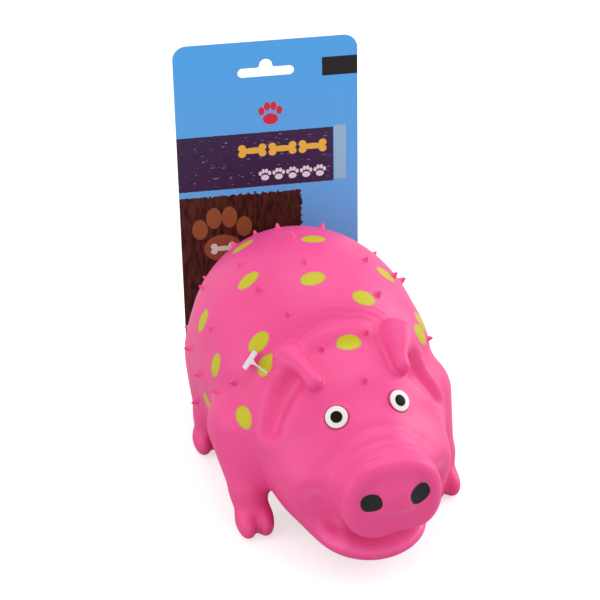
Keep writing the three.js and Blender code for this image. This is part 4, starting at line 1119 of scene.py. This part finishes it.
# Tag pin in the flank: an inner bar, a filament through the skin and a flat paddle outside
tagPin = {
    "inside": 10, "rise": 1.5, "lift": 3, "reach": (-4.5, 8, 2.6),
    "filamentRadius": 0.42, "barRadius": 0.6, "barLength": 8, "barSteps": 8, "barEndShare": 0.55,
    "neck": 5, "steps": 10, "sides": 16,
    "paddle": [  # place past the filament's end, half width and half thickness
        (-5, 0.42, 0.42), (-2.2, 0.6, 0.45), (-0.5, 1.2, 0.45), (-0.02, 1.7, 0.5),
        (0, 5.15, 0.4), (0.4, 5.5, 0.5), (2.6, 5.5, 0.5), (3, 5.15, 0.4),
    ],
    "paddleSides": 24, "paddleSquare": (0.35, 0.5),  # lower is squarer, across and through
    "milky": "#E9E0E8", "cloudy": "#DBD0DA", "cloudSize": 2.5,
    "roughness": 0.32, "ior": 1.53, "depthShare": 0.25, "depth": 0.8, "depthTint": (1, 0.9, 0.9),
}


def smoothPath(points, steps):
    # a Catmull-Rom curve through the points
    points = np.asarray(points, float)
    padded = np.vstack([2 * points[0] - points[1], points, 2 * points[-1] - points[-2]])
    path = []
    for i in range(len(points) - 1):
        a, b, c, d = padded[i:i + 4]
        for t in np.linspace(0, 1, steps, endpoint=i == len(points) - 2):
            path.append(0.5 * (2 * b + (c - a) * t + (2 * a - 5 * b + 4 * c - d) * t ** 2
                               + (3 * b - a - 3 * c + d) * t ** 3))
    return np.array(path)


def nylonMaterial():
    # injection-moulded nylon 6.6 of fasteners: milky, semi-clear, with a soft gloss
    material, tree, shader = newMaterial("mouldedNylonNatural")
    place = addNode(tree, "ShaderNodeTexCoord").outputs["Object"]
    cloud = addNode(tree, "ShaderNodeTexNoise", None, {
        "Vector": place, "Scale": 1 / (tagPin["cloudSize"] * mm), "Detail": 2.0})
    colour = layered(tree, linear(tagPin["milky"]), (cloud.outputs[0], linear(tagPin["cloudy"])))
    tree.links.new(colour, shader.inputs["Base Color"])
    shader.inputs["Roughness"].default_value = tagPin["roughness"]
    shader.inputs["IOR"].default_value = tagPin["ior"]
    shader.inputs["Subsurface Weight"].default_value = tagPin["depthShare"]
    shader.inputs["Subsurface Radius"].default_value = tagPin["depthTint"]
    shader.inputs["Subsurface Scale"].default_value = tagPin["depth"] * mm
    return material


nylon = nylonMaterial()


def makeTagPin(pin):
    hole, normal = tagHole + toyShift, tagNormal
    reach = np.array(pin["reach"], float)
    along = reach / np.linalg.norm(reach)
    end = hole + normal * pin["lift"] + reach
    innerBar = hole - normal * pin["inside"]
    route = smoothPath([innerBar, hole - normal * pigSkin["wall"], hole, hole + normal * pin["rise"],
                        end - along * pin["neck"], end], pin["steps"])
    spin = np.cross(normal, along)
    spin /= np.linalg.norm(spin)
    flat = np.cross(along, spin)
    parts = [tubeMesh("filament", route * mm, [pin["filamentRadius"] * mm] * len(route), pin["sides"])]
    halfBar, last = pin["barLength"] / 2, pin["barSteps"]
    barPath = [innerBar + spin * t for t in np.linspace(-halfBar, halfBar, last + 1)]
    ends = [pin["barRadius"] * (pin["barEndShare"] if n in (0, last) else 1) * mm for n in range(last + 1)]
    parts.append(tubeMesh("bar", np.array(barPath) * mm, ends, pin["sides"]))
    # the paddle's rounded sections, from the neck's tip to its far edge
    sections, sides = pin["paddle"], pin["paddleSides"]
    squareAcross, squareThrough = pin["paddleSquare"]
    points, faces = [], []
    for place, wide, high in sections:
        for n in range(sides):
            angle = 2 * math.pi * n / sides
            c, s = math.cos(angle), math.sin(angle)
            u = math.copysign(abs(c) ** squareAcross, c) * wide
            v = math.copysign(abs(s) ** squareThrough, s) * high
            points.append(end + along * place + spin * u + flat * v)
    for row in range(len(sections) - 1):
        for n in range(sides):
            m = (n + 1) % sides
            faces.append((row * sides + n, row * sides + m, (row + 1) * sides + m, (row + 1) * sides + n))
    faces.append(tuple(range(sides))[::-1])
    faces.append(tuple(range((len(sections) - 1) * sides, len(sections) * sides)))
    parts.append(newMesh("paddle", np.array(points) * mm, faces))
    piece = newPiece("flankTagPin", joinedMesh("flankTagPin", parts), "tag_pin", nylon)
    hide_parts("flank_tag_pin")


def joinedMesh(name, parts):
    points, faces = [], []
    for part in parts:
        start = len(points)
        points += [tuple(v.co) for v in part.vertices]
        faces += [tuple(start + v for v in face.vertices) for face in part.polygons]
        bpy.data.meshes.remove(part)
    return newMesh(name, points, faces)


makeTagPin(tagPin)
for name in ("card_tag_pin_right", "card_tag_pin_left"):
    dress(name, nylon)
print("tag pins made")


# Sounder: a white polythene barrel with its vent cap, reed block, wedge and fibre guard, and an acetate reed
sounder = {
    "white": ("#F5F5F2", "#E9E8E3"), "whiteRoughness": 0.38,
    "film": ("#E2DED2", "#D3CEC0"), "filmRoughness": 0.22,
    "flowSize": 6, "flowBump": (0.2, 0.05),
}


def plasticMaterial(name, colours, roughness):
    # moulded polythene or film: waxy, with the faint flow marks of its mould
    material, tree, shader = newMaterial(name)
    place = addNode(tree, "ShaderNodeTexCoord").outputs["Object"]
    flow = addNode(tree, "ShaderNodeTexNoise", None, {
        "Vector": place, "Scale": 1 / (sounder["flowSize"] * mm), "Detail": 3.0, "Distortion": 1.0})
    light, dark = (linear(colour) for colour in colours)
    tree.links.new(layered(tree, light, (flow.outputs[0], dark)), shader.inputs["Base Color"])
    shader.inputs["Roughness"].default_value = roughness
    strength, depth = sounder["flowBump"]
    bump = addNode(tree, "ShaderNodeBump", None, {
        "Strength": strength, "Distance": depth * mm, "Height": flow.outputs[0]})
    tree.links.new(bump.outputs[0], shader.inputs["Normal"])
    return material


polythene = plasticMaterial("mouldedPolytheneWhite", sounder["white"], sounder["whiteRoughness"])
acetate = plasticMaterial("acetateFilmClear", sounder["film"], sounder["filmRoughness"])
for name in ("grunter_barrel", "grunter_vent_cap", "grunter_fibre_guard", "grunter_reed_block",
             "grunter_reed_wedge"):
    dress(name, polythene)
dress("grunter_reed", acetate)
print("sounder finished")

# Hang card: 0.6 mm white coated board, offset printed and varnished on its front, so the colours are
# full and the gloss is soft. Places are millimetres across from its middle and up from the floor.
cardPrint = {
    # the blue is a printed gradient; its low end is set lighter, as painted light against the toy's shadow on
    # the card
    "blueTop": "#56B5FF", "blueLowWithPaintedLight": "#72BEFA", "blueBetween": (60.0, 200.0), "board": "#F3F2EE",
    "edgeSoft": 0.15,
    "band": {"middle": (-12, 143), "half": (50, 17), "colour": "#35254B", "worn": "#9A94C6", "rough": 0.8},
    "strip": {"middle": (42, 144), "half": (3.4, 17), "colour": "#9CCDE9"},
    "tab": {"middle": (43, 197.5), "half": (11, 5.6), "colour": "#191217"},
    "panel": {"middle": (-24, 60), "half": (43, 62), "dark": "#1D0E0B", "brown": "#5A2A1A", "rough": 5},
    "strokes": {"turn": -20, "stretch": 0.22, "scale": 0.5, "softness": 0.2, "middle": 0.5},
    "rubs": {
        "turn": 35, "stretch": 0.25, "scale": 0.9, "between": (0.63, 0.69), "margin": 1.2, "softness": 0.2,
    },
    # ovals: across, up, half width, half height
    "paw": [
        (0, -3.2, 4.6, 3.6), (-5.4, 2.2, 1.9, 2.7), (-1.9, 5, 1.9, 2.8), (1.9, 5, 1.9, 2.8),
        (5.4, 2.2, 1.9, 2.7),
    ],
    "bone": [
        (-6, 1.9, 2.3, 2.2), (-6, -1.9, 2.3, 2.2), (6, 1.9, 2.3, 2.2), (6, -1.9, 2.3, 2.2),
        (0, 0, 6.5, 1.9),
    ],
    "prints": [  # motif, first place, size, colour, copies and the gap between them
        ("paw", (2, 171), 0.95, "#E02B41", 1, 0),
        ("bone", (-9, 149), 0.98, "#F6C54C", 3, 17.5),
        ("paw", (-2, 133), 0.5, "#EFECF3", 5, 8),
        ("paw", (-28, 96), 2.4, "#9A5836", 1, 0),
        ("bone", (-28, 88), 0.85, "#F1E6E0", 1, 0),
    ],
    "roughness": 0.34, "boardRoughness": 0.7, "specular": 0.35, "wearScale": 0.45,
    "frontFace": 0.05, "frontSoft": 0.02, "fibreScale": 1.3, "fibreBump": (0.08, 0.04),
}


def ovalsGap(tree, flat, ovals, place, size):
    # the gap to the nearest of a motif's ovals
    nearest = None
    for across, up, halfWidth, halfHeight in ovals:
        middle = (place[0] + across * size, place[1] + up * size, 0)
        away = addNode(tree, "ShaderNodeVectorMath", {"operation": "SUBTRACT"}, {0: flat, 1: middle})
        shrunk = addNode(tree, "ShaderNodeVectorMath", {"operation": "DIVIDE"}, {
            0: away.outputs[0], 1: (halfWidth * size, halfHeight * size, 1)})
        level = addNode(tree, "ShaderNodeVectorMath", {"operation": "LENGTH"}, {0: shrunk.outputs[0]})
        gap = addNode(tree, "ShaderNodeMath", {"operation": "MULTIPLY_ADD"}, {
            0: level.outputs["Value"], 1: halfHeight * size, 2: -halfHeight * size}).outputs[0]
        if nearest:
            gap = addNode(tree, "ShaderNodeMath", {"operation": "MINIMUM"}, {0: nearest, 1: gap}).outputs[0]
        nearest = gap
    return nearest


def boxGap(tree, flat, box):
    # the gap to the edge of one of the card's printed boxes
    middle, half = box["middle"], box["half"]
    away = addNode(tree, "ShaderNodeVectorMath", {"operation": "SUBTRACT"}, {0: flat, 1: (*middle, 0)})
    size = addNode(tree, "ShaderNodeVectorMath", {"operation": "ABSOLUTE"}, {0: away.outputs[0]})
    past = addNode(tree, "ShaderNodeVectorMath", {"operation": "SUBTRACT"}, {
        0: size.outputs[0], 1: (*half, 0)})
    parts = addNode(tree, "ShaderNodeSeparateXYZ", None, {0: past.outputs[0]})
    farther = addNode(tree, "ShaderNodeMath", {"operation": "MAXIMUM"}, {
        0: parts.outputs[0], 1: parts.outputs[1]})
    return farther.outputs[0]


def brushedFur(tree, flat, settings):
    # short brushed strokes between the panel's two browns
    strokes, panel = settings["strokes"], settings["panel"]
    brushed = addNode(tree, "ShaderNodeMapping", None, {
        "Vector": flat, "Rotation": (0, 0, math.radians(strokes["turn"])),
        "Scale": (1, strokes["stretch"], 1)})
    streaks = addNode(tree, "ShaderNodeTexNoise", None, {
        "Vector": brushed.outputs[0], "Scale": strokes["scale"], "Detail": 6.0, "Distortion": 0.6})
    mask = inside(tree, streaks.outputs[0], strokes["softness"], strokes["middle"])
    return layered(tree, linear(panel["brown"]), (mask, linear(panel["dark"])))


def rubbedSpecks(tree, flat, settings):
    # specks and short scratches where the band is worn, clear of its edge
    rubs = settings["rubs"]
    slanted = addNode(tree, "ShaderNodeMapping", None, {
        "Vector": flat, "Rotation": (0, 0, math.radians(rubs["turn"])), "Scale": (rubs["stretch"], 1, 1)})
    rubbed = addNode(tree, "ShaderNodeTexNoise", None, {
        "Vector": slanted.outputs[0], "Scale": rubs["scale"], "Detail": 5.0})
    least, most = rubs["between"]
    specks = addNode(tree, "ShaderNodeMapRange", {"interpolation_type": "SMOOTHSTEP"}, {
        0: rubbed.outputs[0], 1: least, 2: most})
    within = inside(tree, boxGap(tree, flat, settings["band"]), rubs["softness"], -rubs["margin"])
    worn = addNode(tree, "ShaderNodeMath", {"operation": "MULTIPLY"}, {0: within, 1: specks.outputs[0]})
    return worn.outputs[0]


def cardMaterial(settings):
    material, tree, shader = newMaterial("coatedBoardOffsetPrinted")
    place = addNode(tree, "ShaderNodeTexCoord").outputs["Object"]
    front = (cardFront + toyShift) * mm
    local = addNode(tree, "ShaderNodeMapping", {"vector_type": "TEXTURE"}, {
        "Vector": place, "Location": tuple(front), "Rotation": (0, 0, math.radians(card["turn"])),
        "Scale": (mm, mm, mm)})
    parts = addNode(tree, "ShaderNodeSeparateXYZ", None, {0: local.outputs[0]})
    across, deep, up = parts.outputs
    flat = addNode(tree, "ShaderNodeCombineXYZ", None, {0: across, 1: up}).outputs[0]
    # the blue runs lighter towards the bottom: partly print, partly painted light against the toy's shadow on
    # the card
    low, high = settings["blueBetween"]
    height = addNode(tree, "ShaderNodeMapRange", None, {0: up, 1: low, 2: high})
    wear = addNode(tree, "ShaderNodeTexNoise", None, {
        "Vector": flat, "Scale": settings["wearScale"], "Detail": 4.0})
    coats = [(height.outputs[0], linear(settings["blueTop"]))]
    soft = settings["edgeSoft"]
    for name in ("strip", "tab"):
        gap = boxGap(tree, flat, settings[name])
        coats.append((inside(tree, gap, soft), linear(settings[name]["colour"])))
    # the band and the panel have torn edges
    fills = {"band": linear(settings["band"]["colour"]), "panel": brushedFur(tree, flat, settings)}
    for name, fill in fills.items():
        rough = settings[name]["rough"]
        torn = addNode(tree, "ShaderNodeMath", {"operation": "MULTIPLY_ADD"}, {
            0: wear.outputs[0], 1: rough, 2: boxGap(tree, flat, settings[name])})
        edge = addNode(tree, "ShaderNodeMath", {"operation": "SUBTRACT"}, {
            0: torn.outputs[0], 1: rough / 2})
        coats.append((inside(tree, edge.outputs[0], soft), fill))
    coats.append((rubbedSpecks(tree, flat, settings), linear(settings["band"]["worn"])))
    for motif, first, size, shade, copies, step in settings["prints"]:
        for n in range(copies):
            gap = ovalsGap(tree, flat, settings[motif], (first[0] + n * step, first[1]), size)
            coats.append((inside(tree, gap, soft), linear(shade)))
    artwork = layered(tree, linear(settings["blueLowWithPaintedLight"]), *coats)
    # only the front face is printed
    printed = inside(tree, deep, settings["frontSoft"], settings["frontFace"])
    colour = layered(tree, linear(settings["board"]), (printed, artwork))
    tree.links.new(colour, shader.inputs["Base Color"])
    rough = addNode(tree, "ShaderNodeMapRange", None, {
        0: printed, 3: settings["boardRoughness"], 4: settings["roughness"]})
    tree.links.new(rough.outputs[0], shader.inputs["Roughness"])
    shader.inputs["Specular IOR Level"].default_value = settings["specular"]
    fibre = addNode(tree, "ShaderNodeTexNoise", None, {
        "Vector": flat, "Scale": settings["fibreScale"], "Detail": 3.0})
    strength, depth = settings["fibreBump"]
    bump = addNode(tree, "ShaderNodeBump", None, {
        "Strength": strength, "Distance": depth * mm, "Height": fibre.outputs[0]})
    tree.links.new(bump.outputs[0], shader.inputs["Normal"])
    return material


dress("hang_card", cardMaterial(cardPrint))
print("card printed")

# Studio: white floor and backdrop, soft boxes
studio = {
    "floorHalf": 4.0, "floorWhite": "#D2D2D2", "floorRoughness": 0.9, "ambient": 0.68, "glow": 0.6,
    "aim": (0, 0, 0.07),
    "boxes": [  # place and size in metres, watts
        ("topBox", (0.1, 0.3, 1.5), (1.3, 1.3), 6.9),
        ("frontBox", (-0.5, -1.7, 0.6), (1.0, 1.0), 2.0),
        ("leftBox", (-1.5, -0.1, 0.5), (1.0, 1.0), 4.7),
        ("rightBox", (1.3, 0.1, 0.6), (0.8, 0.8), 8.5),
    ],
}


def makeStudio(settings):
    bpy.context.scene.view_settings.view_transform = "Standard"
    half = settings["floorHalf"]
    corners = [(-half, -half, 0), (half, -half, 0), (half, half, 0), (-half, half, 0)]
    floor = bpy.data.objects.new("studioFloor", newMesh("studioFloor", corners, [(0, 1, 2, 3)], False))
    bpy.context.scene.collection.objects.link(floor)
    material, tree, shader = newMaterial("paintedFloorWhite")
    shader.inputs["Base Color"].default_value = linear(settings["floorWhite"])
    shader.inputs["Roughness"].default_value = settings["floorRoughness"]
    shader.inputs["Specular IOR Level"].default_value = 0.0
    seen = addNode(tree, "ShaderNodeLightPath")
    glow = addNode(tree, "ShaderNodeMath", {"operation": "MULTIPLY"}, {
        0: seen.outputs["Is Camera Ray"], 1: settings["glow"]})
    shader.inputs["Emission Color"].default_value = (1, 1, 1, 1)
    tree.links.new(glow.outputs[0], shader.inputs["Emission Strength"])
    floor.data.materials.append(material)
    world = bpy.data.worlds.new("studioWorld")
    bpy.context.scene.world = world
    world.use_nodes = True
    tree = world.node_tree
    tree.nodes.clear()
    ray = addNode(tree, "ShaderNodeLightPath")
    straight = addNode(tree, "ShaderNodeMath", {"operation": "MAXIMUM"}, {
        0: ray.outputs["Is Camera Ray"], 1: ray.outputs["Is Transmission Ray"]})
    seen = addNode(tree, "ShaderNodeMath", {"operation": "MAXIMUM"}, {
        0: straight.outputs[0], 1: ray.outputs["Is Glossy Ray"]})
    level = addNode(tree, "ShaderNodeMapRange", None, {0: seen.outputs[0], 3: settings["ambient"], 4: 1.0})
    sky = addNode(tree, "ShaderNodeBackground", None, {"Color": (1, 1, 1, 1), "Strength": level.outputs[0]})
    addNode(tree, "ShaderNodeOutputWorld", None, {"Surface": sky.outputs[0]})
    for name, place, size, watts in settings["boxes"]:
        lamp = bpy.data.lights.new(name, "AREA")
        lamp.shape, lamp.size, lamp.size_y, lamp.energy = "RECTANGLE", size[0], size[1], watts
        holder = bpy.data.objects.new(name, lamp)
        towards = Vector(settings["aim"]) - Vector(place)
        holder.location = place
        holder.rotation_mode = "QUATERNION"
        holder.rotation_quaternion = towards.to_track_quat("-Z", "Y")
        bpy.context.scene.collection.objects.link(holder)


makeStudio(studio)
print("studio set")
